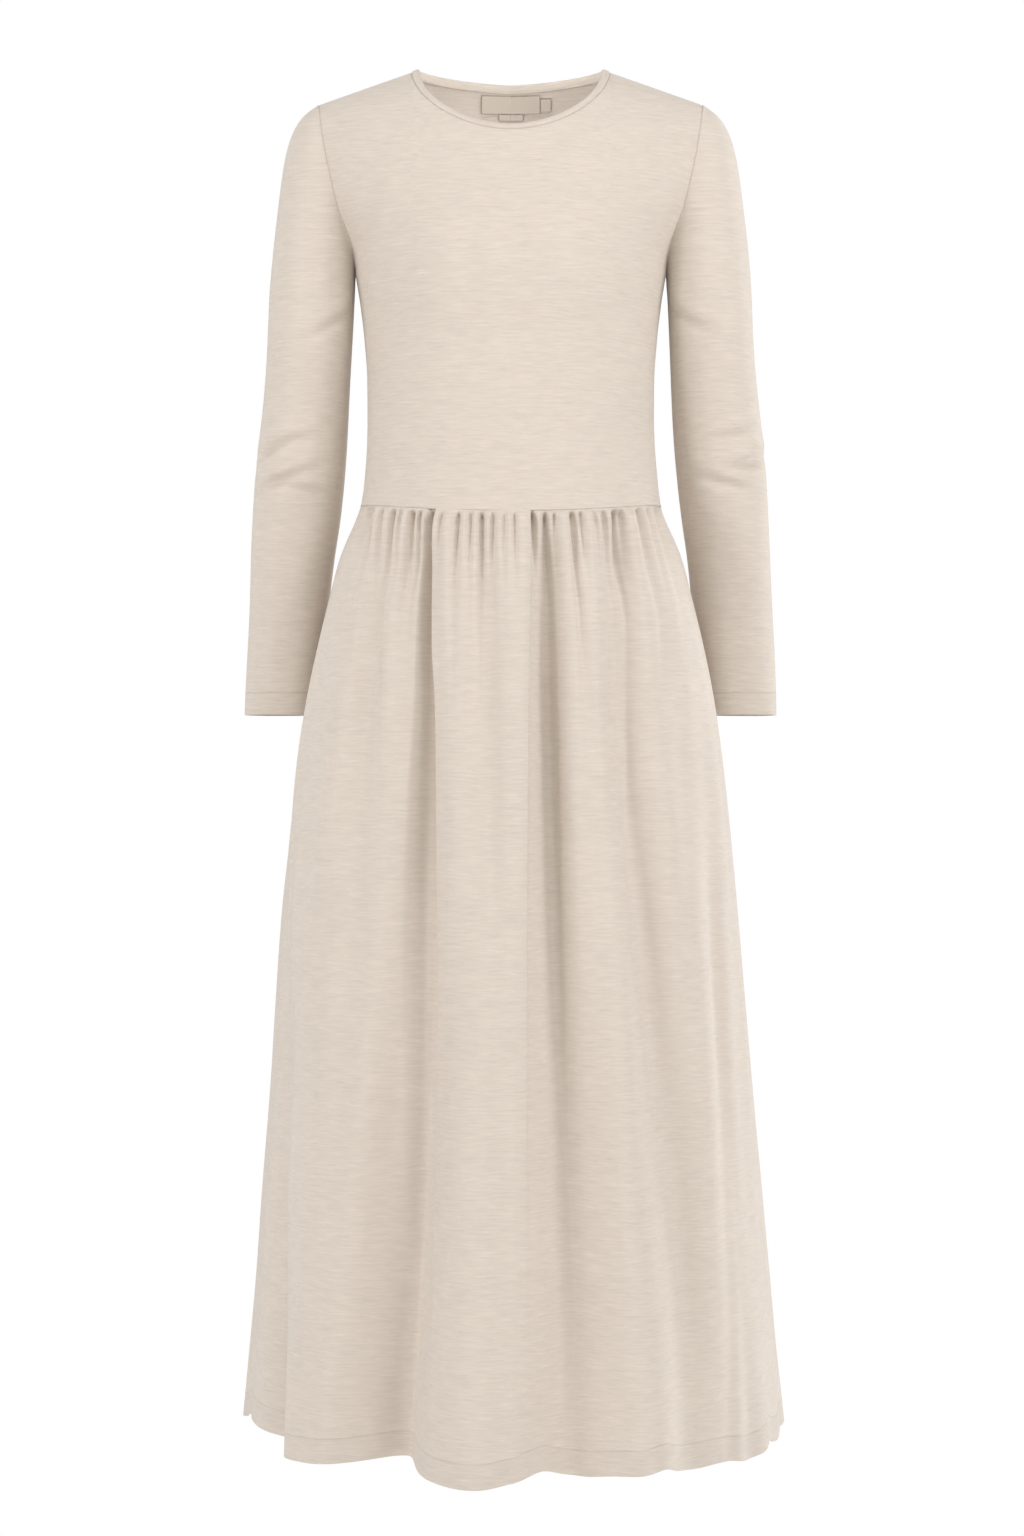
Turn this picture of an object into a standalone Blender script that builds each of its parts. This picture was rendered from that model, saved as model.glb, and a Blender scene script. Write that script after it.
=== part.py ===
"""Long-sleeved maxi dress in one knit cloth, filled out as if worn by a general figure.

Metres, +Z up, the front faces -Y and +X is the wearer's left. The origin is midway
between the two neck points at the height of the band's top edge. Each panel is a
wall with an outer and an inner face, lofted through sections worked out from the
tables below.
"""

import math

import bmesh
import bpy
import numpy as np

for old in list(bpy.data.objects):
    bpy.data.objects.remove(old, do_unlink=True)

MM = 0.001

# Cloth and seams
CLOTH = 1.4 * MM
GAP = 0.3 * MM
BAND_CLOTH = 1.8 * MM
LABEL_CLOTH = 1.0 * MM

# Shoulders and neck
NECK_HALF = 95.0 * MM
NECK_SEAM_Z = -1.8 * MM
SHOULDER_FALL = 0.349
NECK_DROP_FRONT = 69.8 * MM
NECK_DROP_BACK = 9.7 * MM
NECK_ROUND = 1.85
BAND_WIDTH = 7.5 * MM
BAND_ROLL = 0.5 * MM

# Bodice
UNDERARM_Z = -199.0 * MM
WAIST_SIDE_Z = -420.0 * MM
WAIST_DIP_FRONT = 10.5 * MM
WAIST_DIP_BACK = 4.0 * MM
TORSO_POWER = 2.3
BUST_FULL = 9.0 * MM
BUST_X, BUST_Z = 74.0 * MM, -196.0 * MM
BUST_ACROSS, BUST_TALL = 46.0 * MM, 52.0 * MM

# Sleeve
CUFF_Z = -618.0 * MM
CAP_FOOT_Z = -215.0 * MM
SLEEVE_POWER = 2.1

# Skirt
HEM_Z = -1320.0 * MM
SKIRT_POWER = 2.5

# How finely each panel is cut
TORSO_ROWS = 7
NECK_COLUMNS_FRONT, SHOULDER_COLUMNS = 8, 5
NECK_COLUMNS_BACK = 5
SKIRT_COLUMNS_FRONT, SKIRT_COLUMNS_BACK = 36, 28


def table(names, rows, scale):
    """A table with named columns, each column scaled to metres or left as it is."""
    columns = np.array(rows, float).T
    return {n: c * s for n, c, s in zip(names.split(), columns, scale)}


def smooth(x, xs, ys):
    """A smooth curve through the rows of a table, with no overshoot between them."""
    order = np.argsort(xs)
    xs, ys = xs[order], ys[order]
    x = np.clip(x, xs[0], xs[-1])
    step = np.diff(xs)
    rise = np.diff(ys) / step
    slope = np.empty_like(ys)
    slope[0], slope[-1] = rise[0], rise[-1]
    a, b = rise[:-1], rise[1:]
    same = a * b > 0
    slope[1:-1] = np.where(same, 2 * a * b / np.where(same, a + b, 1.0), 0.0)
    k = np.clip(np.searchsorted(xs, x, side="right") - 1, 0, len(xs) - 2)
    t = (x - xs[k]) / step[k]
    return (
        (1 + 2 * t) * (1 - t) ** 2 * ys[k]
        + t * (1 - t) ** 2 * step[k] * slope[k]
        + t * t * (3 - 2 * t) * ys[k + 1]
        + t * t * (t - 1) * step[k] * slope[k + 1]
    )


# The bodice below the underarm: half width, and depth to the front and to the back
TORSO = table(
    "z half front back",
    [
        (-440, 146.0, 106.0, 87.0),
        (-420, 144.0, 104.5, 86.0),
        (-400, 141.3, 102.5, 84.5),
        (-370, 138.7, 101.0, 83.5),
        (-340, 137.4, 101.0, 83.5),
        (-300, 137.6, 103.0, 85.0),
        (-260, 140.3, 106.5, 88.0),
        (-225, 144.4, 108.5, 91.0),
        (-199, 148.6, 109.0, 92.0),
    ],
    (MM, MM, MM, MM),
)

# The armhole seam, by the rise over the shoulder: its x and how far round it lies
ARMHOLE = table(
    "rise x round_front round_back",
    [
        (0, 148.6, 90.0, 90.0),
        (5, 149.6, 81.6, 78.2),
        (10, 153.2, 76.6, 71.1),
        (20, 163.8, 69.6, 61.9),
        (30, 170.6, 64.9, 54.2),
        (45, 177.8, 60.3, 46.5),
        (60, 182.0, 55.7, 38.9),
        (75, 184.3, 50.7, 31.5),
        (90, 185.5, 46.0, 27.6),
    ],
    (math.radians(1), MM, math.radians(1), math.radians(1)),
)

# The sleeve below its cap: outer and inner edge, middle and half depth
SLEEVE = table(
    "z outer inner middle depth",
    [
        (-199, 230.0, 149.9, 3.0, 54.0),
        (-260, 234.1, 152.2, 12.0, 53.0),
        (-315, 239.1, 155.5, 21.0, 51.0),
        (-372, 245.2, 160.1, 31.0, 49.5),
        (-429, 250.3, 166.0, 44.0, 48.0),
        (-467, 253.4, 171.5, 54.0, 46.0),
        (-545, 257.5, 181.0, 73.0, 43.0),
        (-618, 261.0, 189.0, 86.0, 40.0),
    ],
    (MM, MM, MM, MM, MM),
)

# How the sleeve's cap leaves the seam: sideways reach for each part of the fall
CAP = table(
    "fall reach",
    [(0, 0), (0.06, 0.30), (0.12, 0.47), (0.2, 0.60), (0.32, 0.71), (0.5, 0.81), (0.75, 0.92), (1, 1)],
    (1, 1),
)

# The skirt's rings before its folds: half width, middle, front and back
SKIRT = table(
    "z half middle front back",
    [
        (-440, 151.5, 0.0, 109.0, 92.0),
        (-420, 144.0, 0.0, 104.5, 86.0),
        (-452, 157.0, 2.0, 117.0, 99.0),
        (-471, 164.5, 4.0, 123.0, 105.0),
        (-509, 174.5, 8.0, 129.0, 113.0),
        (-547, 184.0, 12.0, 133.0, 119.0),
        (-586, 192.5, 16.0, 136.0, 124.0),
        (-622, 198.9, 20.0, 138.0, 129.0),
        (-682, 207.0, 26.0, 141.0, 138.0),
        (-758, 215.0, 35.0, 143.0, 150.0),
        (-912, 228.5, 52.0, 145.0, 172.0),
        (-1066, 241.5, 68.0, 146.0, 191.0),
        (-1219, 254.0, 82.0, 146.0, 206.0),
        (-1320, 262.0, 90.0, 146.0, 214.0),
    ],
    (MM, MM, MM, MM, MM),
)

# The skirt's largest folds. Degrees round from the front centre at the waist, the hip,
# the knee and the hem, how far each stands out there (in is negative), how wide it is on
# its two sides, and how far it lifts the hem.
FOLDS = table(
    "waist hip knee hem out_hip out_knee out_hem before after lift",
    [
        (-27.0, -19.5, -16.0, -19.8, -17.0, -24.0, -46.0, 13.0, 4.6, 8),
        (2.0, 0.5, -3.0, -4.2, 7.0, 16.0, 36.0, 9.5, 6.0, -7),
        (10.0, 8.0, 8.5, 10.0, -13.0, -12.0, -6.0, 4.0, 9.0, 0),
        (21.0, 19.0, 20.0, 22.0, 5.0, 12.0, 28.0, 8.0, 8.0, 0),
        (34.0, 29.0, 32.0, 37.0, -11.0, -8.0, -2.0, 6.0, 9.0, 0),
        (-54.0, -42.0, -40.0, -38.0, -7.0, -4.0, 0.0, 7.0, 6.0, 0),
        (-84.0, -82.0, -76.0, -70.0, 0.0, -20.0, -48.0, 11.0, 12.0, 0),
        (-92.0, -92.0, -92.0, -92.0, 0.0, 0.0, 0.0, 10.0, 14.0, 12),
        (-112.0, -112.0, -113.0, -113.0, 0.0, 13.0, 31.0, 12.0, 12.0, 0),
        (57.0, 57.0, 58.0, 58.0, 0.0, -4.0, -6.0, 6.0, 4.0, 0),
        (106.0, 106.0, 106.0, 106.0, 0.0, 8.0, 18.0, 12.0, 12.0, 0),
        (131.0, 134.0, 133.0, 132.0, -10.0, -20.0, -40.0, 10.0, 10.0, 0),
        (157.0, 158.0, 157.0, 156.0, 5.0, 14.0, 28.0, 9.0, 9.0, 0),
        (176.0, 177.0, 178.0, 179.0, -9.0, -18.0, -36.0, 9.0, 9.0, 0),
        (-158.0, -157.0, -156.0, -155.0, 5.0, 14.0, 30.0, 10.0, 9.0, 0),
        (-136.0, -136.0, -135.0, -135.0, -10.0, -22.0, -42.0, 9.0, 9.0, 0),
    ],
    (1, 1, 1, 1, MM, MM, MM, 1, 1, MM),
)
FOLD_HEIGHTS = np.array([WAIST_SIDE_Z, -620 * MM, -950 * MM, HEM_Z])

# The neckband's lean, by how far round from the front: inwards and up
BAND_LEAN = table(
    "round inwards up",
    [(0, 0.74, 0.67), (45, 0.84, 0.54), (90, 0.94, 0.34), (135, 0.62, 0.78), (180, 0.35, 0.94)],
    (math.radians(1), 1, 1),
)


def across(angle, power):
    return np.sign(np.sin(angle)) * np.abs(np.sin(angle)) ** (2 / power)


def along(angle, power):
    return np.sign(np.cos(angle)) * np.abs(np.cos(angle)) ** (2 / power)


def shoulder_z(x):
    return NECK_SEAM_Z - SHOULDER_FALL * (abs(x) - NECK_HALF)


def neck_z(x, drop):
    inside = max(0.0, 1 - (abs(x) / NECK_HALF) ** NECK_ROUND)
    return NECK_SEAM_Z - drop * inside ** (1 / NECK_ROUND)


def waist_z(angle):
    forward = math.cos(angle)
    dip = WAIST_DIP_FRONT if forward > 0 else WAIST_DIP_BACK
    return WAIST_SIDE_Z - dip * forward * forward


def bust(x, z, side):
    """Fullness over the front's darts, none at the side seam or on the back."""
    if side > 0:
        return 0.0
    full = math.exp(-(((abs(x) - BUST_X) / BUST_ACROSS) ** 2) - ((z - BUST_Z) / BUST_TALL) ** 2)
    return BUST_FULL * full


def torso_point(s, up, side):
    """The bodice between the waist (up = 0) and the underarm (up = 1). side is -1 for the front and 1 for the back, s runs from seam to seam."""
    angle = s * math.pi / 2
    low = waist_z(angle if side < 0 else math.pi - angle)
    z = low + up * (UNDERARM_Z - low)
    x = smooth(z, TORSO["z"], TORSO["half"]) * across(angle, TORSO_POWER)
    deep = smooth(z, TORSO["z"], TORSO["front" if side < 0 else "back"])
    round_ = along(angle, TORSO_POWER)
    return np.array([x, side * (deep * round_ + bust(x, z, side) * round_), z])


def chest_point(s, rise, side):
    """The bodice from the underarm (rise = 0) over to the shoulder seam (rise = 90 degrees)."""
    seam = smooth(rise, ARMHOLE["rise"], ARMHOLE["round_front" if side < 0 else "round_back"])
    angle = s * seam
    reach = smooth(rise, ARMHOLE["rise"], ARMHOLE["x"])
    x = reach * across(angle, TORSO_POWER) / across(seam, TORSO_POWER)
    z = UNDERARM_Z + (shoulder_z(x) - UNDERARM_Z) * math.sin(rise)
    deep = TORSO["front" if side < 0 else "back"][-1] * math.cos(rise)
    round_ = along(angle, TORSO_POWER)
    return np.array([x, side * (deep * round_ + bust(x, z, side) * round_ * math.cos(rise)), z])


def neck_column(side):
    """Where along the shoulder seam the neck point lies, as a part of the way to the armhole."""
    seam = ARMHOLE["round_front" if side < 0 else "round_back"][-1]
    part = NECK_HALF / ARMHOLE["x"][-1] * across(seam, TORSO_POWER)
    return math.asin(part ** (TORSO_POWER / 2)) / seam


def top_rise(s, side):
    """How far up a column runs: to the neck seam, or right up to the shoulder seam."""
    if abs(s) >= neck_column(side) - 1e-9:
        return math.pi / 2
    drop = NECK_DROP_FRONT if side < 0 else NECK_DROP_BACK
    low, high = 0.0, math.pi / 2
    for _ in range(50):
        middle = (low + high) / 2
        x, _, z = chest_point(s, middle, side)
        low, high = (middle, high) if z < neck_z(x, drop) else (low, middle)
    return (low + high) / 2


def unit(v):
    return v / max(np.linalg.norm(v), 1e-12)


def outward(surface, u, v, du, dv, u_range, v_range):
    """The outward normal of surface(u, v), from differences that stay within its range."""
    u0, u1 = max(u - du, u_range[0]), min(u + du, u_range[1])
    v0, v1 = max(v - dv, v_range[0]), min(v + dv, v_range[1])
    return unit(np.cross(surface(u1, v) - surface(u0, v), surface(u, v1) - surface(u, v0)))


CHEST_STEPS = np.array([0, 0.045, 0.11, 0.2, 0.3, 0.42, 0.55, 0.68, 0.80, 0.90, 1.0])


def bodice_columns(side):
    neck = neck_column(side)
    count = NECK_COLUMNS_FRONT if side < 0 else NECK_COLUMNS_BACK
    inner = neck * np.sin(np.linspace(0, math.pi / 2, count + 1)) ** 1.0
    outer = np.linspace(neck, 1, SHOULDER_COLUMNS + 1)[1:]
    half = np.concatenate([inner, outer])
    return np.concatenate([-half[:0:-1], half])


def bodice_panel(side):
    """Points and normals of the bodice's front or back, row by row from the waist up."""
    columns = bodice_columns(side)
    points, normals = [], []
    for up in np.linspace(0, 1, TORSO_ROWS + 1):
        row = [torso_point(s, up, side) for s in columns]
        turned = [
            outward(lambda a, b: torso_point(a, b, side), s, up, 0.01, 0.01, (-1, 1), (0, 1))
            for s in columns
        ]
        points.append(row)
        normals.append(turned)
    tops = [top_rise(s, side) for s in columns]
    for step in CHEST_STEPS[1:]:
        points.append([chest_point(s, step * top, side) for s, top in zip(columns, tops)])
        normals.append(
            [
                outward(
                    lambda a, b: chest_point(a, b, side), s, step * top, 0.01, 0.01,
                    (-1, 1), (0, math.pi / 2),
                )
                for s, top in zip(columns, tops)
            ]
        )
    points, normals = np.array(points), np.array(normals)
    if side > 0:
        normals = -normals
    normals[0, :, 2] = 0
    normals[0] /= np.linalg.norm(normals[0], axis=1)[:, None]
    return points, normals


def hem_z(angle):
    """The hem's height: the deepest folds take up a little of its length."""
    lift = 0.0
    for k in range(len(FOLDS["hem"])):
        off = (math.degrees(angle) - FOLDS["hem"][k] + 180) % 360 - 180
        wide = FOLDS["before"][k] if off < 0 else FOLDS["after"][k]
        lift += FOLDS["lift"][k] * math.exp(-((off / wide) ** 2))
    return HEM_Z + lift


def skirt_point(angle, z):
    """The skirt at one angle round from the front centre, between the waist seam and the hem."""
    blend = np.clip((-640 * MM - z) / (300 * MM), 0, 1)
    power = TORSO_POWER + (SKIRT_POWER - TORSO_POWER) * blend
    half = smooth(z, SKIRT["z"], SKIRT["half"])
    middle = smooth(z, SKIRT["z"], SKIRT["middle"])
    forward = math.cos(angle) > 0
    deep = smooth(z, SKIRT["z"], SKIRT["front"]) + middle if forward else smooth(z, SKIRT["z"], SKIRT["back"]) - middle
    x, y = half * across(angle, power), middle - deep * along(angle, power)
    out = np.array([math.sin(angle) / half, -math.cos(angle) / deep])
    out /= np.linalg.norm(out)
    # Folds start at the waist seam, where the cloth is gathered flat
    start = np.clip((WAIST_SIDE_Z - 8 * MM - z) / (60 * MM), 0, 1)
    start = start * start * (3 - 2 * start)
    turn = math.degrees(angle)
    stand = 0.0
    for k in range(len(FOLDS["hem"])):
        centre = smooth(z, FOLD_HEIGHTS, np.array([FOLDS[c][k] for c in ("waist", "hip", "knee", "hem")]))
        tall = smooth(
            z, FOLD_HEIGHTS,
            np.array([0.6 * FOLDS["out_hip"][k]] + [FOLDS[c][k] for c in ("out_hip", "out_knee", "out_hem")]),
        )
        off = (turn - centre + 180) % 360 - 180
        wide = FOLDS["before"][k] if off < 0 else FOLDS["after"][k]
        stand += tall * math.exp(-((off / wide) ** 2))
    x, y = x + out[0] * stand * start, y + out[1] * stand * start
    return np.array([x, y, z])


SKIRT_HEIGHTS = np.array([0, 0.022, 0.05, 0.09, 0.15, 0.23, 0.33, 0.45, 0.58, 0.72, 0.86, 1.0])


def skirt_panel(start, stop, count):
    """Points and normals of the skirt between two side seams, row by row from the hem up."""
    angles = np.radians(np.linspace(start, stop, count + 1))
    points, normals = [], []
    for down in SKIRT_HEIGHTS[::-1]:
        row, turned = [], []
        for a in angles:
            top = waist_z(a)
            z = top + down * (hem_z(a) - top)
            row.append(skirt_point(a, z))
            n = np.cross(
                skirt_point(a + 0.01, z) - skirt_point(a - 0.01, z),
                skirt_point(a, min(z + 2 * MM, top)) - skirt_point(a, z - 2 * MM),
            )
            turned.append(unit(n))
        points.append(row)
        normals.append(turned)
    points, normals = np.array(points), np.array(normals)
    normals[-1, :, 2] = np.maximum(normals[-1, :, 2], 0)
    normals[0, :, 2] = 0
    for row in (0, -1):
        normals[row] /= np.linalg.norm(normals[row], axis=1)[:, None]
    return points, normals


def pull_in(points, edges, by):
    """Moves the named edges of a grid back into it, which leaves half a seam gap."""
    moved = points.copy()
    if "left" in edges:
        moved[:, 0] += by * np.array([unit(v) for v in points[:, 1] - points[:, 0]])
    if "right" in edges:
        moved[:, -1] += by * np.array([unit(v) for v in points[:, -2] - points[:, -1]])
    if "low" in edges:
        moved[0] += by * np.array([unit(v) for v in points[1] - points[0]])
    if "top" in edges:
        moved[-1] += by * np.array([unit(v) for v in points[-2] - points[-1]])
    return moved


garment = bpy.data.collections.new("maxi_dress")
bpy.context.scene.collection.children.link(garment)


def material(name, colour, roughness):
    made = bpy.data.materials.new(name)
    made.use_nodes = True
    shader = made.node_tree.nodes["Principled BSDF"]
    shader.inputs["Base Color"].default_value = (*colour, 1)
    shader.inputs["Roughness"].default_value = roughness
    shader.inputs["Metallic"].default_value = 0.0
    made.diffuse_color = (*colour, 1)
    return made


def wall(name, points, normals, thick, looped, colour, roughness=0.9):
    """A cloth wall: the outer grid, the same grid moved in by its thickness, and the rims between them."""
    rows, columns = points.shape[:2]
    mesh = bmesh.new()
    outer = [[mesh.verts.new(p) for p in row] for row in points]
    inner = [[mesh.verts.new(p) for p in row] for row in points - thick * normals]
    last = columns if looped else columns - 1
    for i in range(rows - 1):
        for j in range(last):
            k = (j + 1) % columns
            mesh.faces.new((outer[i][j], outer[i][k], outer[i + 1][k], outer[i + 1][j]))
            mesh.faces.new((inner[i][j], inner[i + 1][j], inner[i + 1][k], inner[i][k]))
    for j in range(last):
        k = (j + 1) % columns
        mesh.faces.new((outer[0][k], outer[0][j], inner[0][j], inner[0][k]))
        mesh.faces.new((outer[-1][j], outer[-1][k], inner[-1][k], inner[-1][j]))
    if not looped:
        for i in range(rows - 1):
            mesh.faces.new((outer[i][0], outer[i + 1][0], inner[i + 1][0], inner[i][0]))
            mesh.faces.new((outer[i + 1][-1], outer[i][-1], inner[i][-1], inner[i + 1][-1]))
    bmesh.ops.recalc_face_normals(mesh, faces=mesh.faces)
    if mesh.calc_volume(signed=True) < 0:
        bmesh.ops.reverse_faces(mesh, faces=mesh.faces)
    # Rims stay crisp, the cloth between them is smooth
    data = bpy.data.meshes.new(name)
    mesh.to_mesh(data)
    mesh.free()
    data.polygons.foreach_set("use_smooth", [True] * len(data.polygons))
    data.set_sharp_from_angle(angle=math.radians(50))
    data.materials.append(material(name + "_cloth", colour, roughness))
    placed = bpy.data.objects.new(name, data)
    garment.objects.link(placed)
    return placed


BEIGE = (0.75, 0.66, 0.57)

# Bodice
front_points, front_normals = bodice_panel(-1)
back_points, back_normals = bodice_panel(1)
wall(
    "bodice_front",
    pull_in(front_points, ("left", "right", "low", "top"), GAP / 2),
    front_normals, CLOTH, False, BEIGE,
)
wall(
    "bodice_back",
    pull_in(back_points, ("left", "right", "low", "top"), GAP / 2),
    back_normals, CLOTH, False, BEIGE,
)


def armhole_loop(hand):
    """The armhole seam from the underarm up the front, over the shoulder and down the back, with the bodice's way across the seam and its normals."""
    column = -1 if hand > 0 else 0
    beside = -2 if hand > 0 else 1
    rows = range(TORSO_ROWS, front_points.shape[0])
    loop, across_seam, normals = [], [], []
    for grid, turned, order in (
        (front_points, front_normals, list(rows)),
        (back_points, back_normals, list(rows)[-2:0:-1]),
    ):
        for i in order:
            loop.append(grid[i, column])
            across_seam.append(unit(grid[i, column] - grid[i, beside]))
            normals.append(turned[i, column])
    return np.array(loop), np.array(across_seam), np.array(normals)


CAP_FALLS = np.array([0, 0.05, 0.13, 0.26, 0.46, 0.72, 1.0])
SLEEVE_HEIGHTS = np.array([-215, -265, -322, -380, -438, -498, -558, -618]) * MM


def sleeve_ring(z, turns, hand):
    """One level ring of the sleeve, from its inner edge round the front."""
    outer = smooth(z, SLEEVE["z"], SLEEVE["outer"])
    inner = smooth(z, SLEEVE["z"], SLEEVE["inner"])
    middle = smooth(z, SLEEVE["z"], SLEEVE["middle"])
    deep = smooth(z, SLEEVE["z"], SLEEVE["depth"])
    x = (outer + inner) / 2 - (outer - inner) / 2 * along(turns, SLEEVE_POWER)
    y = middle - deep * across(turns, SLEEVE_POWER)
    return np.stack([hand * x, y, np.full_like(x, z)], axis=1)


def sleeve_panel(hand):
    loop, across_seam, seam_normals = armhole_loop(hand)
    turns = np.linspace(0, 2 * math.pi, len(loop), endpoint=False)
    loop = loop + across_seam * GAP / 2
    foot = sleeve_ring(CAP_FOOT_Z, turns, hand)
    out = ((1 - np.cos(turns)) / 2)[:, None]
    rows = []
    for fall in CAP_FALLS:
        reach = smooth(fall, CAP["fall"], CAP["reach"])
        side = fall + (reach - fall) * out[:, 0] ** 0.7
        row = loop + (foot - loop) * side[:, None]
        row[:, 2] = loop[:, 2] + (foot[:, 2] - loop[:, 2]) * fall
        rows.append(row)
    for z in SLEEVE_HEIGHTS[1:]:
        rows.append(sleeve_ring(z, turns, hand))
    points = np.array(rows)
    round_ = np.roll(points, -1, axis=1) - np.roll(points, 1, axis=1)
    down = np.gradient(points, axis=0)
    normals = np.cross(round_, down)
    normals /= np.linalg.norm(normals, axis=2)[:, :, None]
    centre = points.mean(axis=1, keepdims=True)
    if np.sum(normals * (points - centre)) < 0:
        normals = -normals
    # Along the seam the wall stays on the sleeve's own side of it
    past = np.maximum(0, np.sum(normals[0] * across_seam, axis=1))[:, None]
    normals[0] -= past * across_seam
    normals[0] /= np.linalg.norm(normals[0], axis=1)[:, None]
    return points, normals


for name, hand in (("sleeve_left", 1), ("sleeve_right", -1)):
    points, normals = sleeve_panel(hand)
    wall(name, points[::-1], normals[::-1], CLOTH, True, BEIGE)

# Skirt
for name, start, stop, count in (
    ("skirt_front", -90, 90, SKIRT_COLUMNS_FRONT),
    ("skirt_back", 90, 270, SKIRT_COLUMNS_BACK),
):
    points, normals = skirt_panel(start, stop, count)
    wall(name, pull_in(points, ("left", "right", "top"), GAP / 2), normals, CLOTH, False, BEIGE)


# Neckband: it starts a gap above the bodice's neck edge and leans in
def neck_loop():
    """The neck seam round from the back centre by the wearer's right, front and left, with the way across it and the bodice's normals."""
    loop, up, normals = [], [], []
    for grid, turned, side in ((front_points, front_normals, -1), (back_points[:, ::-1], back_normals[:, ::-1], 1)):
        columns = bodice_columns(side)
        neck = neck_column(side)
        inside = [j for j, s in enumerate(columns) if abs(s) <= neck + 1e-9]
        if side > 0:
            inside = inside[1:-1]
        for j in inside:
            loop.append(grid[-1, j])
            up.append(unit(grid[-1, j] - grid[-2, j]))
            normals.append(turned[-1, j])
    return np.array(loop), np.array(up), np.array(normals)


seam, up, seam_normals = neck_loop()
tangent = np.roll(seam, -1, axis=0) - np.roll(seam, 1, axis=0)
tangent /= np.linalg.norm(tangent, axis=1)[:, None]
centre = np.array([0.0, -0.012, 0.0])
flat = (centre - seam) * (1, 1, 0)
flat /= np.linalg.norm(flat, axis=1)[:, None]
turn = np.arctan2(np.abs(seam[:, 0]), -(seam[:, 1] - centre[1]))
lean = (
    flat * smooth(turn, BAND_LEAN["round"], BAND_LEAN["inwards"])[:, None]
    + np.array([0, 0, 1.0]) * smooth(turn, BAND_LEAN["round"], BAND_LEAN["up"])[:, None]
)
lean /= np.linalg.norm(lean, axis=1)[:, None]
# At the neck points the seam's two sides meet, so the way across is the lean itself there
corner = np.abs(np.abs(seam[:, 0]) - NECK_HALF) < 0.5 * MM
up[corner] = lean[corner]
face = np.cross(tangent, lean)
face /= np.linalg.norm(face, axis=1)[:, None]
if np.sum(face * (seam - centre)) < 0:
    face = -face
base = seam + up * GAP / 2
rows = [base, base + lean * BAND_WIDTH * 0.5 + face * BAND_ROLL, base + lean * BAND_WIDTH]
base_face = seam_normals - np.sum(seam_normals * up, axis=1)[:, None] * up
base_face /= np.linalg.norm(base_face, axis=1)[:, None]
middle_face = (base_face + face) / 2
middle_face /= np.linalg.norm(middle_face, axis=1)[:, None]
wall("neckband", np.array(rows), np.array([base_face, middle_face, face]), BAND_CLOTH, True, (0.74, 0.65, 0.56))


# Labels: patches of the back's inner face, moved in
LABELS = table(
    "left right top low layer",
    [
        (-29.0, 29.0, -14.5, -30.5, 0),
        (-12.0, 12.5, -30.8, -36.8, 0),
        (29.3, 39.8, -17.5, -29.0, 0),
    ],
    (MM, MM, MM, MM, 1),
)


def inside_back(x, z):
    """The inner face of the back and its normal, at one x and height."""
    low, high = 0.0, math.pi / 2
    for _ in range(40):
        rise = (low + high) / 2
        reach, seam_at = smooth(rise, ARMHOLE["rise"], ARMHOLE["x"]), smooth(rise, ARMHOLE["rise"], ARMHOLE["round_back"])
        part = min(1.0, abs(x) / reach * across(seam_at, TORSO_POWER))
        s = math.copysign(math.asin(part ** (TORSO_POWER / 2)) / seam_at, x) if x else 0.0
        found = chest_point(s, rise, 1)
        low, high = (rise, high) if found[2] < z else (low, rise)
    n = -outward(lambda a, b: chest_point(a, b, 1), s, rise, 0.01, 0.01, (-1, 1), (0, math.pi / 2))
    return found, n


for k, name in enumerate(("label_main", "label_care", "label_size")):
    left, right, top, low = (LABELS[c][k] for c in ("left", "right", "top", "low"))
    columns = max(2, int(round((right - left) / (10 * MM))))
    found = [[inside_back(x, z) for x in np.linspace(left, right, columns + 1)] for z in (low, (low + top) / 2, top)]
    points = np.array([[p for p, _ in row] for row in found])
    normals = np.array([[n for _, n in row] for row in found])
    clear = CLOTH + 4 * GAP
    wall(name, points - clear * normals, normals, LABEL_CLOTH, False, (0.68, 0.58, 0.48), 0.8)
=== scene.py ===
import math

import bpy
import numpy as np
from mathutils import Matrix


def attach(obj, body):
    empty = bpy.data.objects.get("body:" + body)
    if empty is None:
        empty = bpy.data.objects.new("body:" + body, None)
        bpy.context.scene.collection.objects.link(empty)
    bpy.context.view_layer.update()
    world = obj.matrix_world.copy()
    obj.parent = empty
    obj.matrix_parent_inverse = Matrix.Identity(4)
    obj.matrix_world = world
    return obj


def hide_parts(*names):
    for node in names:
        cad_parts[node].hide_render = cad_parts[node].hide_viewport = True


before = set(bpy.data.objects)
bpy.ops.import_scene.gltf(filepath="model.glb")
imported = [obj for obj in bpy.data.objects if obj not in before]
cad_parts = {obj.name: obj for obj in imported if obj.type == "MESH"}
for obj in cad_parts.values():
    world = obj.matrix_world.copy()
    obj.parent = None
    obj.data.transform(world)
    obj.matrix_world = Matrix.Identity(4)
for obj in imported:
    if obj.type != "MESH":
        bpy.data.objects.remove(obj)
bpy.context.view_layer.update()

MM = 0.001
WALL = 1.2 * MM
FINE = 1.0

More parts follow.
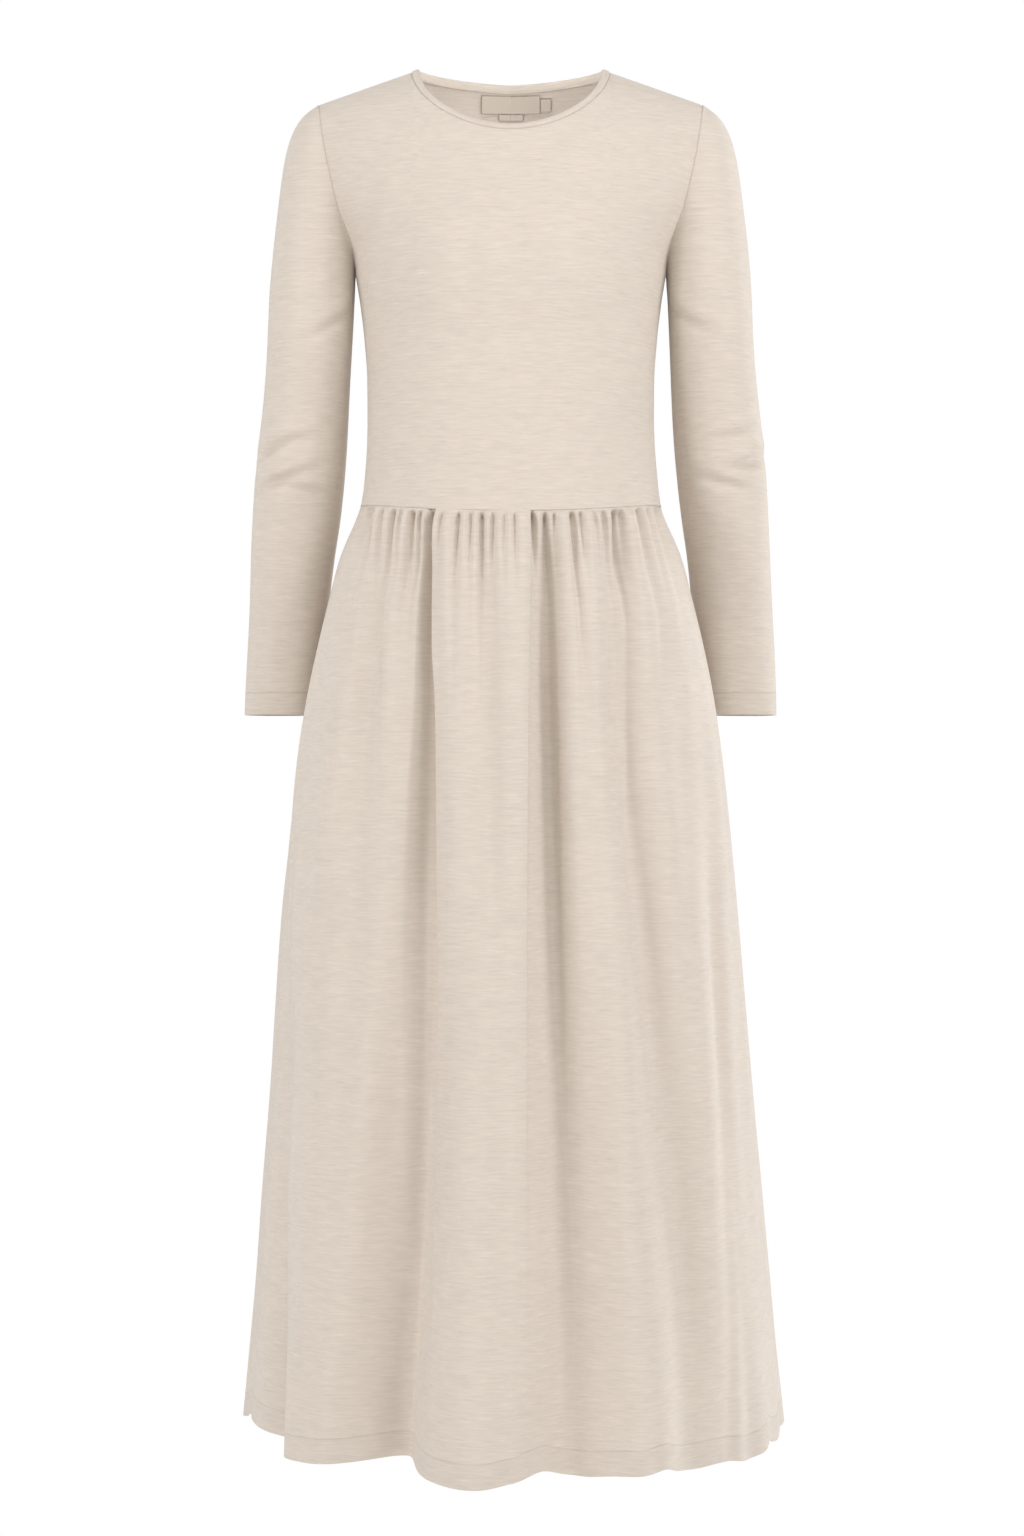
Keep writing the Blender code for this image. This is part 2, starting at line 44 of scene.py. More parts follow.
# ---------------------------------------------------------------- sizes
NECK_HALF, NECK_SEAM_Z = 95.0 * MM, -3.5 * MM
SHOULDER_FALL = 0.349
NECK_DROP_FRONT, NECK_DROP_BACK = 68.1 * MM, 8.9 * MM
NECK_ROUND_FRONT, NECK_ROUND_BACK = 1.85, 1.5
BAND_WIDTH = 7.5 * MM
UNDERARM_Z, WAIST_SIDE_Z = -199.0 * MM, -420.0 * MM
WAIST_DIP_FRONT, WAIST_DIP_BACK = 10.5 * MM, 4.0 * MM
TORSO_POWER, SKIRT_POWER, SLEEVE_POWER = 2.3, 2.5, 2.35
BUST_FULL, BUST_X, BUST_Z = 9.0 * MM, 74.0 * MM, -196.0 * MM
BUST_ACROSS, BUST_TALL = 46.0 * MM, 52.0 * MM
CUFF_Z, CAP_FOOT_Z, HEM_Z = -618.0 * MM, -215.0 * MM, -1320.0 * MM
HEM_DEEP, CUFF_DEEP = 23.5 * MM, 22.0 * MM


def table(names, rows, scale):
    columns = np.array(rows, float).T
    return {n: c * s for n, c, s in zip(names.split(), columns, scale)}


def smooth(x, xs, ys):
    """A smooth curve through a table's rows, with no overshoot between them."""
    order = np.argsort(xs)
    xs, ys = xs[order], ys[order]
    x = np.clip(x, xs[0], xs[-1])
    step = np.diff(xs)
    rise = np.diff(ys) / step
    slope = np.empty_like(ys)
    slope[0], slope[-1] = rise[0], rise[-1]
    a, b = rise[:-1], rise[1:]
    same = a * b > 0
    slope[1:-1] = np.where(same, 2 * a * b / np.where(same, a + b, 1.0), 0.0)
    k = np.clip(np.searchsorted(xs, x, side="right") - 1, 0, len(xs) - 2)
    t = (x - xs[k]) / step[k]
    return (
        (1 + 2 * t) * (1 - t) ** 2 * ys[k]
        + t * (1 - t) ** 2 * step[k] * slope[k]
        + t * t * (3 - 2 * t) * ys[k + 1]
        + t * t * (t - 1) * step[k] * slope[k + 1]
    )


RAD = math.radians(1)
TORSO = table(
    "z half front back",
    [
        (-440, 146.0, 106.0, 87.0),
        (-420, 144.0, 104.5, 86.0),
        (-400, 141.3, 102.5, 84.5),
        (-370, 138.7, 101.0, 83.5),
        (-340, 137.4, 101.0, 83.5),
        (-300, 137.6, 103.0, 85.0),
        (-260, 140.3, 106.5, 88.0),
        (-225, 144.4, 108.5, 91.0),
        (-199, 148.6, 109.0, 92.0),
    ],
    (MM, MM, MM, MM),
)
ARMHOLE = table(
    "rise x round_front round_back",
    [
        (0, 148.6, 90.0, 90.0),
        (5, 149.6, 81.6, 78.2),
        (10, 153.2, 76.6, 71.1),
        (20, 163.8, 69.6, 61.9),
        (30, 170.6, 64.9, 54.2),
        (45, 177.8, 60.3, 46.5),
        (60, 182.0, 55.7, 38.9),
        (75, 184.3, 50.7, 31.5),
        (90, 185.5, 46.0, 27.6),
    ],
    (RAD, MM, RAD, RAD),
)
SLEEVE = table(
    "z outer inner middle depth",
    [
        (-199, 230.0, 149.9, 3.0, 54.0),
        (-260, 234.1, 152.2, 12.0, 53.0),
        (-315, 239.1, 155.5, 21.0, 51.0),
        (-372, 245.2, 160.1, 31.0, 49.5),
        (-429, 250.3, 166.0, 44.0, 48.0),
        (-467, 253.4, 171.5, 54.0, 46.0),
        (-545, 257.5, 181.0, 73.0, 43.0),
        (-618, 261.0, 189.0, 86.0, 40.0),
    ],
    (MM, MM, MM, MM, MM),
)
CAP = table(
    "fall reach",
    [(0, 0), (0.06, 0.30), (0.12, 0.47), (0.2, 0.60), (0.32, 0.71), (0.5, 0.81), (0.75, 0.92), (1, 1)],
    (1, 1),
)
SKIRT = table(
    "z half middle front back",
    [
        (-440, 151.5, 0.0, 109.0, 92.0),
        (-420, 144.0, 0.0, 104.5, 86.0),
        (-452, 157.0, 2.0, 117.0, 99.0),
        (-471, 164.5, 4.0, 123.0, 105.0),
        (-509, 174.5, 8.0, 129.0, 113.0),
        (-547, 184.0, 12.0, 133.0, 119.0),
        (-586, 192.5, 16.0, 136.0, 124.0),
        (-622, 198.9, 20.0, 138.0, 129.0),
        (-682, 207.0, 26.0, 141.0, 138.0),
        (-758, 215.0, 35.0, 143.0, 150.0),
        (-912, 228.5, 52.0, 145.0, 172.0),
        (-1066, 241.5, 68.0, 146.0, 191.0),
        (-1219, 254.0, 82.0, 146.0, 206.0),
        (-1320, 262.0, 90.0, 146.0, 214.0),
    ],
    (MM, MM, MM, MM, MM),
)
# The large folds: degrees round at the waist, hip, knee and hem, how far out, how wide
FOLDS = table(
    "waist hip knee hem out_hip out_knee out_hem before after lift",
    [
        (-27.0, -19.5, -16.0, -19.8, -17.0, -24.0, -46.0, 13.0, 4.6, 8),
        (2.0, 0.5, -3.0, -4.2, 7.0, 16.0, 36.0, 9.5, 6.0, -7),
        (10.0, 8.0, 8.5, 10.0, -13.0, -12.0, -6.0, 4.0, 9.0, 0),
        (21.0, 19.0, 20.0, 22.0, 5.0, 12.0, 28.0, 8.0, 8.0, 0),
        (34.0, 29.0, 32.0, 37.0, -11.0, -8.0, -2.0, 6.0, 9.0, 0),
        (-54.0, -42.0, -40.0, -38.0, -7.0, -4.0, 0.0, 7.0, 6.0, 0),
        (-84.0, -82.0, -76.0, -70.0, 0.0, -20.0, -48.0, 11.0, 12.0, 0),
        (-92.0, -92.0, -92.0, -92.0, 0.0, 0.0, 0.0, 10.0, 14.0, 12),
        (-112.0, -112.0, -113.0, -113.0, 0.0, 13.0, 31.0, 12.0, 12.0, 0),
        (57.0, 57.0, 58.0, 58.0, 0.0, -4.0, -6.0, 6.0, 4.0, 0),
        (106.0, 106.0, 106.0, 106.0, 0.0, 8.0, 18.0, 12.0, 12.0, 0),
        (131.0, 134.0, 133.0, 132.0, -10.0, -20.0, -40.0, 10.0, 10.0, 0),
        (157.0, 158.0, 157.0, 156.0, 5.0, 14.0, 28.0, 9.0, 9.0, 0),
        (176.0, 177.0, 178.0, 179.0, -9.0, -18.0, -36.0, 9.0, 9.0, 0),
        (-158.0, -157.0, -156.0, -155.0, 5.0, 14.0, 30.0, 10.0, 9.0, 0),
        (-136.0, -136.0, -135.0, -135.0, -10.0, -22.0, -42.0, 9.0, 9.0, 0),
    ],
    (1, 1, 1, 1, MM, MM, MM, 1, 1, MM),
)
FOLD_HEIGHTS = np.array([WAIST_SIDE_Z, -0.620, -0.950, HEM_Z])
# The gathers under the waist seam: where, in mm from the centre, how deep, how wide on
# either side, how far they drift by their foot and how far down they run
GATHERS = table(
    "at deep before after drift run",
    [
        (-137.0, 2.0, 3.0, 3.0, -4, 60),
        (-131.0, 2.8, 3.5, 2.5, -5, 110),
        (-121.5, 2.2, 2.5, 3.0, -4, 70),
        (-110.0, 3.2, 3.5, 2.5, -3, 150),
        (-103.0, 2.0, 2.5, 2.5, -2, 55),
        (-92.0, 3.4, 4.0, 3.0, -2, 120),
        (-84.5, 2.6, 3.0, 2.5, 0, 90),
        (-72.5, 3.0, 3.5, 2.0, 1, 60),
        (-63.0, 1.6, 2.2, 2.4, 0, 40),
        (-48.5, 2.6, 3.0, 3.2, 1, 130),
        (-37.0, 2.2, 3.2, 2.6, 3, 75),
        (-27.0, 3.0, 3.2, 3.0, 4, 210),
        (-16.5, 2.4, 2.6, 3.0, 2, 110),
        (-6.0, 1.5, 2.5, 2.5, 0, 45),
        (3.5, 1.6, 2.2, 2.2, 1, 60),
        (19.5, 2.6, 2.0, 3.5, 2, 60),
        (32.0, 3.0, 3.4, 2.6, 3, 150),
        (40.5, 2.0, 2.4, 2.4, 2, 60),
        (56.5, 3.2, 3.0, 3.4, 3, 190),
        (65.0, 2.4, 2.6, 3.0, 3, 90),
        (77.0, 1.6, 2.5, 2.5, 2, 40),
        (86.0, 2.4, 3.2, 2.6, 3, 80),
        (97.5, 4.4, 3.4, 3.6, 4, 260),
        (103.5, 2.2, 2.4, 2.4, 4, 70),
        (120.0, 3.0, 3.4, 3.0, 6, 130),
        (130.0, 2.0, 2.6, 2.6, 5, 60),
        (139.0, 2.4, 2.8, 2.8, 5, 80),
    ],
    (MM, MM, MM, MM, MM, MM),
)
# The two sharp laps of the front, down the skirt: the lap's edge, how far its valley
# reaches and how deep it is, in mm; the back has them mirrored and softer
LAPS = table(
    "z left left_far left_deep right right_far right_deep",
    [
        (-432, -69.0, -80.0, 3.0, 17.0, 24.0, 2.5),
        (-445, -70.5, -85.0, 7.0, 17.4, 27.0, 4.5),
        (-478, -73.5, -91.0, 11.0, 17.4, 31.0, 6.5),
        (-552, -73.8, -94.0, 14.0, 16.0, 40.0, 6.5),
        (-607, -71.0, -96.0, 14.0, 15.3, 48.0, 6.0),
        (-653, -70.0, -99.0, 14.0, 15.0, 56.0, 6.0),
        (-723, -69.4, -103.0, 12.0, 14.4, 62.0, 6.0),
        (-789, -68.6, -106.0, 10.0, 13.8, 66.0, 6.0),
        (-884, -68.0, -108.0, 8.0, 13.6, 72.0, 5.5),
        (-976, -69.0, -108.0, 5.0, 13.6, 76.0, 3.2),
        (-1114, -71.0, -106.0, 2.0, 13.0, 80.0, 0.6),
        (-1320, -73.0, -104.0, 0.0, 12.0, 84.0, 0.0),
    ],
    (MM, MM, MM, MM, MM, MM, MM),
)
LAP_WALL = 3.0 * MM
# The softer valleys between: how far to the side and how deep at four heights, in mm,
# and how wide on either side
VALLEYS = table(
    "x46 x62 x90 x120 d46 d62 d90 d120 before after",
    [
        (34, 40, 50, 59, 8, 19, 17, 9, 15, 8),
        (99, 107, 139, 165, 3, 5, 5, 3, 12, 14),
        (-128, -141, -153, -162, 2, 3, 2, 1, 10, 12),
        (-26, -19, -13, -5, 3.5, 3, 1.5, 0, 6, 8),
        (-78, -80, -76, -78, 0, 0, 4, 5, 16, 15),
        (62, 73, 84, 92, 3, 3, 0, 0, 5, 6),
        (180, 188, 198, 210, 0, 0, 2, 3, 5, 4),
    ],
    (MM,) * 10,
)
VALLEY_HEIGHTS = np.array([-0.46, -0.62, -0.90, -1.20])
BAND_LEAN = table(
    "round inwards up",
    [(0, 0.74, 0.67), (45, 0.84, 0.54), (78, 0.975, 0.22), (92, 0.92, 0.39), (108, 0.48, 0.88), (130, 0.42, 0.91), (180, 0.35, 0.94)],
    (RAD, 1, 1),
)


def across(angle, power):
    return np.sign(np.sin(angle)) * np.abs(np.sin(angle)) ** (2 / power)


def along(angle, power):
    return np.sign(np.cos(angle)) * np.abs(np.cos(angle)) ** (2 / power)


def shoulder_z(x):
    return NECK_SEAM_Z - SHOULDER_FALL * (np.abs(x) - NECK_HALF)


def neck_z(x, side):
    drop, power = (NECK_DROP_FRONT, NECK_ROUND_FRONT) if side < 0 else (NECK_DROP_BACK, NECK_ROUND_BACK)
    inside = np.maximum(0.0, 1 - (np.abs(x) / NECK_HALF) ** power)
    return NECK_SEAM_Z - drop * inside ** (1 / power)


def waist_z(angle):
    forward = np.cos(angle)
    dip = np.where(forward > 0, WAIST_DIP_FRONT, WAIST_DIP_BACK)
    return WAIST_SIDE_Z - dip * forward * forward


def bell(d, before, after):
    """A rounded rise, wider on one side than on the other."""
    return np.exp(-((d / np.where(d < 0, before, after)) ** 2))


def crease(d, before, after):
    """A sharper line with soft shoulders."""
    w = np.where(d < 0, before, after)
    return np.exp(0.0786 - ((d / w) ** 2 + 0.02) ** 0.65)


def ramp(t):
    t = np.clip(t, 0, 1)
    return t * t * (3 - 2 * t)


def normals_of(points, looped=False):
    if looped:
        du = np.roll(points, -1, axis=1) - np.roll(points, 1, axis=1)
    else:
        du = np.gradient(points, axis=1)
    dv = np.gradient(points, axis=0)
    n = np.cross(du, dv)
    return n / np.maximum(np.linalg.norm(n, axis=2, keepdims=True), 1e-12)


# ---------------------------------------------------------------- bodice
def bust(x, z, side):
    if side > 0:
        return 0.0 * x
    return BUST_FULL * np.exp(-(((np.abs(x) - BUST_X) / BUST_ACROSS) ** 2) - ((z - BUST_Z) / BUST_TALL) ** 2)


def torso(s, up, side):
    angle = s * math.pi / 2
    low = waist_z(angle if side < 0 else math.pi - angle)
    z = low + up * (UNDERARM_Z - low)
    x = smooth(z, TORSO["z"], TORSO["half"]) * across(angle, TORSO_POWER)
    deep = smooth(z, TORSO["z"], TORSO["front" if side < 0 else "back"])
    r = along(angle, TORSO_POWER)
    return np.stack([x, side * (deep * r + bust(x, z, side) * r), z], axis=-1)


def chest(s, rise, side):
    seam = smooth(rise, ARMHOLE["rise"], ARMHOLE["round_front" if side < 0 else "round_back"])
    angle = s * seam
    reach = smooth(rise, ARMHOLE["rise"], ARMHOLE["x"])
    x = reach * across(angle, TORSO_POWER) / across(seam, TORSO_POWER)
    z = UNDERARM_Z + (shoulder_z(x) - UNDERARM_Z) * np.sin(rise)
    deep = TORSO["front" if side < 0 else "back"][-1] * np.cos(rise)
    r = along(angle, TORSO_POWER)
    return np.stack([x, side * (deep * r + bust(x, z, side) * r * np.cos(rise)), z], axis=-1)


def neck_column(side):
    seam = ARMHOLE["round_front" if side < 0 else "round_back"][-1]
    part = NECK_HALF / ARMHOLE["x"][-1] * across(seam, TORSO_POWER)
    return math.asin(part ** (TORSO_POWER / 2)) / seam


def top_rise(s, side):
    low, high = np.zeros_like(s), np.full_like(s, math.pi / 2)
    for _ in range(45):
        middle = (low + high) / 2
        p = chest(s, middle, side)
        under = p[..., 2] < neck_z(p[..., 0], side)
        low, high = np.where(under, middle, low), np.where(under, high, middle)
    return np.where(np.abs(s) >= neck_column(side) - 1e-9, math.pi / 2, (low + high) / 2)


def bodice_grid(side, neck_cols, shoulder_cols, torso_rows, chest_rows):
    neck = neck_column(side)
    inner = neck * np.sin(np.linspace(0, math.pi / 2, neck_cols + 1))
    t = np.linspace(0, 1, shoulder_cols + 1)[1:]
    outer = neck + (1 - neck) * t
    half = np.concatenate([inner, outer])
    s = np.concatenate([-half[:0:-1], half])
    low = torso(s[None, :], np.linspace(0, 1, torso_rows + 1)[:, None], side)
    tops = top_rise(s, side)
    rises = np.linspace(0, 1, chest_rows + 1)[1:, None] ** 1.1 * tops[None, :]
    high = chest(s[None, :] + 0 * rises, rises, side)
    points = np.concatenate([low, high])
    flip = 1 if side < 0 else -1
    n = normals_of(points) * flip
    return s, points, n


def edge_distance(points, where):
    """Metres along the grid from one of its edges, one number a point."""
    if where in ("low", "top"):
        step = np.linalg.norm(np.diff(points, axis=0), axis=2)
        d = np.concatenate([np.zeros((1, points.shape[1])), np.cumsum(step, axis=0)])
        return d if where == "low" else d[-1:] - d
    step = np.linalg.norm(np.diff(points, axis=1), axis=2)
    d = np.concatenate([np.zeros((points.shape[0], 1)), np.cumsum(step, axis=1)], axis=1)
    return d if where == "left" else d[:, -1:] - d


def trimmed(points, left=0, right=0, low=0, top=0):
    """Moves an edge back into its grid, which leaves half a seam's gap."""
    moved = points.copy()
    for by, edge, beside in (
        (left, (slice(None), 0), (slice(None), 1)),
        (right, (slice(None), -1), (slice(None), -2)),
        (low, (0,), (1,)),
        (top, (-1,), (-2,)),
    ):
        if by:
            v = points[beside] - points[edge]
            moved[edge] += by * v / np.maximum(np.linalg.norm(v, axis=-1, keepdims=True), 1e-12)
    return moved


HALF_GAP = 0.03 * MM
SEAM_ROLL, SEAM_REACH = 0.4 * MM, 1.8 * MM


def rolled(points, normals, distance, deep=SEAM_ROLL, reach=SEAM_REACH):
    """Turns the cloth in along a seam, as its allowance pulls it."""
    return points - normals * (deep * np.exp(-((distance / reach) ** 2)))[..., None]


# ---------------------------------------------------------------- skirt
def skirt_power(z):
    blend = np.clip((-0.640 - z) / 0.300, 0, 1)
    return TORSO_POWER + (SKIRT_POWER - TORSO_POWER) * blend


def turn_at(x, z, front):
    """Degrees round to a place that far to one side."""
    part = (np.abs(x) / smooth(z, SKIRT["z"], SKIRT["half"])) ** (skirt_power(z) / 2)
    a = np.degrees(np.arcsin(np.clip(part, 0, 1))) * np.sign(x)
    return a if front else 180 - a


def lap_rows(z, hand, front):
    edge, far, deep = (smooth(z, LAPS["z"], LAPS[hand + k]) for k in ("", "_far", "_deep"))
    return (edge, far, deep) if front else (-0.8 * edge, -0.8 * far, 0.7 * deep)


# Small trims of the left side's edge, and of the hem's height round the front
EDGE_TRIM = table(
    "z left",
    [(-560, 0), (-700, 2.0), (-800, 4.3), (-895, 2.0), (-990, -0.6), (-1087, -1.0), (-1180, -3.0), (-1320, -4.6)],
    (MM, MM),
)
HEM_TRIM = table(
    "round lift wide",
    [(3.4, 6, 2.6), (10.5, -3, 4.0), (25.4, 6, 3.6), (36, -2, 5), (57, -4, 6), (70, 7, 4)],
    (1, MM, 1),
)


def hem_z(angle):
    """The hem's height: the deepest folds take up a little of its length."""
    lift = 0 * angle
    for k in range(len(FOLDS["hem"])):
        off = (np.degrees(angle) - FOLDS["hem"][k] + 180) % 360 - 180
        lift = lift + FOLDS["lift"][k] * bell(off, FOLDS["before"][k], FOLDS["after"][k])
    for k in range(len(HEM_TRIM["round"])):
        off = (np.degrees(angle) - HEM_TRIM["round"][k] + 180) % 360 - 180
        lift = lift + HEM_TRIM["lift"][k] * np.exp(-((off / HEM_TRIM["wide"][k]) ** 2))
    return HEM_Z + lift


def skirt_turns(start, stop, counts, down, front):
    """Columns which follow both laps' edges, closer together beside them."""
    z = WAIST_SIDE_Z - 0.010 + down * (HEM_Z - WAIST_SIDE_Z + 0.010)
    left = turn_at(lap_rows(z, "left", front)[0], z, front)[:, None]
    right = turn_at(lap_rows(z, "right", front)[0], z, front)[:, None]
    a, b, c = (np.linspace(0, 1, n + 1) for n in counts)
    near = 1 - a
    first = left + (start - left) * (0.32 * near + 0.68 * near ** 2)
    second = left + (right - left) * (b - 0.75 * np.sin(2 * math.pi * b) / (2 * math.pi))
    third = right + (stop - right) * (0.32 * c + 0.68 * c ** 2)
    return np.concatenate([first, second[:, 1:], third[:, 1:]], axis=1)


def laps(x, z, front):
    """How far the laps' valleys fall in, and how far the cloth beside them leans over."""
    out, over = 0 * x, 0 * x
    for hand in ("left", "right"):
        edge, far, deep = lap_rows(z, hand, front)
        way = np.sign(far - edge)
        d = (x - edge) * way
        wide = np.abs(far - edge)
        wall = ramp(d / LAP_WALL)
        floor = 0.42 if hand == "left" else 0.10
        out = out - deep * wall * (1 - ramp((d / wide - floor) / (1 - floor)))
        out = out + 0.35 * deep * np.exp(-((d / (22 * MM)) ** 2)) * (1 - wall)
        over = over + way * 0.13 * deep * np.where(d < 0, np.exp(-((d / (7 * MM)) ** 2)), 1 - wall)
    return out, over


def valleys(x, z, front):
    out = 0 * x
    for k in range(len(VALLEYS["before"])):
        centre = smooth(z, VALLEY_HEIGHTS, np.array([VALLEYS[c][k] for c in ("x46", "x62", "x90", "x120")]))
        deep = smooth(z, VALLEY_HEIGHTS, np.array([VALLEYS[c][k] for c in ("d46", "d62", "d90", "d120")]))
        centre = centre if front else 12 * MM - 0.9 * centre
        widen = 1 + 0.5 * ramp((-0.60 - z) / 0.5)
        out = out - deep * bell(x - centre, VALLEYS["before"][k] * widen, VALLEYS["after"][k] * widen)
    return out * ramp((WAIST_SIDE_Z - 0.005 - z) / 0.03)


def skirt_points(turn, down, from_waist=True):
    """turn in degrees round from the front centre, down from the waist seam (0) to the hem (1)."""
    angle = np.radians(turn) + 0 * down[:, None]
    top = waist_z(angle)
    z = top + down[:, None] * (hem_z(angle) - top)
    power = skirt_power(z)
    half = smooth(z, SKIRT["z"], SKIRT["half"])
    middle = smooth(z, SKIRT["z"], SKIRT["middle"])
    forward = np.cos(angle) > 0
    deep = np.where(
        forward,
        smooth(z, SKIRT["z"], SKIRT["front"]) + middle,
        smooth(z, SKIRT["z"], SKIRT["back"]) - middle,
    )
    x = half * across(angle, power)
    y = middle - deep * along(angle, power)
    ox, oy = np.sin(angle) / half, -np.cos(angle) / deep
    size = np.hypot(ox, oy)
    ox, oy = ox / size, oy / size
    start = np.clip((WAIST_SIDE_Z - 0.008 - z) / 0.060, 0, 1)
    start = start * start * (3 - 2 * start)
    degrees = np.degrees(angle)
    stand = 0 * z
    for k in range(len(FOLDS["hem"])):
        centre = smooth(z, FOLD_HEIGHTS, np.array([FOLDS[c][k] for c in ("waist", "hip", "knee", "hem")]))
        tall = smooth(
            z, FOLD_HEIGHTS,
            np.array([0.6 * FOLDS["out_hip"][k]] + [FOLDS[c][k] for c in ("out_hip", "out_knee", "out_hem")]),
        )
        off = (degrees - centre + 180) % 360 - 180
        stand = stand + tall * bell(off, FOLDS["before"][k], FOLDS["after"][k])
    stand = stand * start
    return x, y, z, ox, oy, stand, degrees


def gathers(x, z, front, turn):
    """How far the gathers stand in or out under the waist seam."""
    fall = np.maximum(0, waist_z(np.radians(turn)) - z)
    begin = 1 - np.exp(-((fall / 0.0038) ** 2))
    out = 0 * z
    for k in range(len(GATHERS["at"])):
        at, deep, run = GATHERS["at"][k], GATHERS["deep"][k], GATHERS["run"][k]
        if not front:
            at = -0.93 * at + 0.0021 * math.sin(7.0 * k)
            deep, run = deep * (0.8 + 0.3 * math.sin(2.3 * k + 1)), run * (0.8 + 0.35 * math.cos(1.7 * k))
        drift = GATHERS["drift"][k] * (1 if front else -1)
        centre = at * (1 + 0.14 * np.clip(fall / 0.10, 0, 1)) + drift * np.clip(fall / 0.12, 0, 1)
        widen = 0.9 + 1.2 * np.clip(fall / 0.16, 0, 1)
        fade = 2.2 * np.exp(-((fall / run) ** 1.4)) + 2.3 * np.exp(-((fall / 0.052) ** 2))
        d = x - centre
        out = out - deep * fade * crease(d, GATHERS["before"][k] * widen, GATHERS["after"][k] * widen)
    # Between them the cloth stands proud of the seam
    puff = 5.6 * MM * np.exp(-(((fall - 0.014) / 0.030) ** 2)) * (1 - np.abs(np.sin(np.radians(turn))) ** 5)
    return (out + puff) * begin


# ---------------------------------------------------------------- meshes
def lay(name, points, uv, looped=False, extra=None, wall=WALL, flip=False):
    """A grid of points as a mesh with a wall's thickness, its UV in metres of cloth, and its seam distances."""
    rows, columns = points.shape[:2]
    index = np.arange(rows * columns).reshape(rows, columns)
    a, b = index[:-1, :-1], index[:-1, 1:]
    c, d = index[1:, 1:], index[1:, :-1]
    faces = np.stack([a, b, c, d], axis=-1).reshape(-1, 4)
    if looped:
        wrap = np.stack([index[:-1, -1], index[:-1, 0], index[1:, 0], index[1:, -1]], axis=-1).reshape(-1, 4)
        faces = np.concatenate([faces, wrap])
    if flip:
        faces = faces[:, ::-1]
    name = name + "_cloth"
    mesh = bpy.data.meshes.new(name)
    mesh.from_pydata(points.reshape(-1, 3).tolist(), [], faces.tolist())
    corner = np.empty(len(mesh.loops), np.int32)
    mesh.loops.foreach_get("vertex_index", corner)
    flat = uv.reshape(-1, 2)
    layer = mesh.uv_layers.new(name="cloth")
    coords = flat[corner].copy()
    if looped:
        # The last strip closes the tube, so its far side carries on past the first column
        per = coords.reshape(-1, 4, 2)
        girth = uv[:, -1, 0].max() + (uv[:, -1, 0] - uv[:, -2, 0]).mean()
        last = per[len(faces) - (rows - 1):]
        wrapped = last[:, :, 0] < girth * 0.5
        last[:, :, 0] = np.where(wrapped, last[:, :, 0] + girth, last[:, :, 0])
    layer.data.foreach_set("uv", coords.reshape(-1).astype(np.float32))
    for key, values in (extra or {}).items():
        attribute = mesh.attributes.new(key, "FLOAT", "POINT")
        attribute.data.foreach_set("value", values.reshape(-1).astype(np.float32))
    mesh.polygons.foreach_set("use_smooth", [True] * len(mesh.polygons))
    mesh.update()
    # A border's edge is crisp, so that the wall's turn there doesn't shade the last row
    ends = np.empty(2 * len(mesh.edges), np.int32)
    mesh.edges.foreach_get("vertices", ends)
    row, column = ends.reshape(-1, 2) // columns, ends.reshape(-1, 2) % columns
    border = ((row == 0).all(axis=1)) | ((row == rows - 1).all(axis=1))
    if not looped:
        border |= ((column == 0).all(axis=1)) | ((column == columns - 1).all(axis=1))
    crisp = mesh.attributes.new("sharp_edge", "BOOLEAN", "EDGE")
    crisp.data.foreach_set("value", border)
    piece = bpy.data.objects.new(name, mesh)
    bpy.context.scene.collection.objects.link(piece)
    if wall:
        thick = piece.modifiers.new("wall", "SOLIDIFY")
        thick.thickness = wall
        thick.offset = -1
        thick.use_rim = True
    return piece


def cloth_uv(points, looped=False):
    """Metres across and along the cloth: across is the girth of each level, along is the way down the middle."""
    step = np.linalg.norm(np.diff(points, axis=1), axis=2)
    u = np.concatenate([np.zeros((points.shape[0], 1)), np.cumsum(step, axis=1)], axis=1)
    if not looped:
        middle = points.shape[1] // 2
        u = u - u[:, middle:middle + 1]
    v = points[..., 2]
    return np.stack([u, v], axis=-1)


# ---------------------------------------------------------------- looks
def node(tree, kind, **inputs):
    made = tree.nodes.new(kind)
    for key, value in inputs.items():
        if hasattr(made, key):
            setattr(made, key, value)
        else:
            made.inputs[key.replace("_", " ")].default_value = value
    return made


def math_node(tree, operation, a, b=None, c=None):
    made = tree.nodes.new("ShaderNodeMath")
    made.operation = operation
    for k, value in enumerate((a, b, c)):
        if value is None:
            continue
        if isinstance(value, (int, float)):
            made.inputs[k].default_value = value
        else:
            tree.links.new(value, made.inputs[k])
    return made.outputs[0]


def noise(tree, uv, across_m, along_m, shift, detail=3.0, rough=0.55):
    """Noise whose grains are across_m long and along_m tall on the cloth."""
    scale = tree.nodes.new("ShaderNodeVectorMath")
    scale.operation = "MULTIPLY"
    tree.links.new(uv, scale.inputs[0])
    scale.inputs[1].default_value = (1 / across_m, 1 / along_m, 1)
    move = tree.nodes.new("ShaderNodeVectorMath")
    move.operation = "ADD"
    tree.links.new(scale.outputs[0], move.inputs[0])
    move.inputs[1].default_value = (shift * 3.7, shift * 1.9, shift)
    made = tree.nodes.new("ShaderNodeTexNoise")
    made.inputs["Scale"].default_value = 1.0
    made.inputs["Detail"].default_value = detail
    made.inputs["Roughness"].default_value = rough
    tree.links.new(move.outputs[0], made.inputs["Vector"])
    return made.outputs["Fac"]


def attribute(tree, name):
    made = tree.nodes.new("ShaderNodeAttribute")
    made.attribute_name = name
    return made.outputs["Fac"]


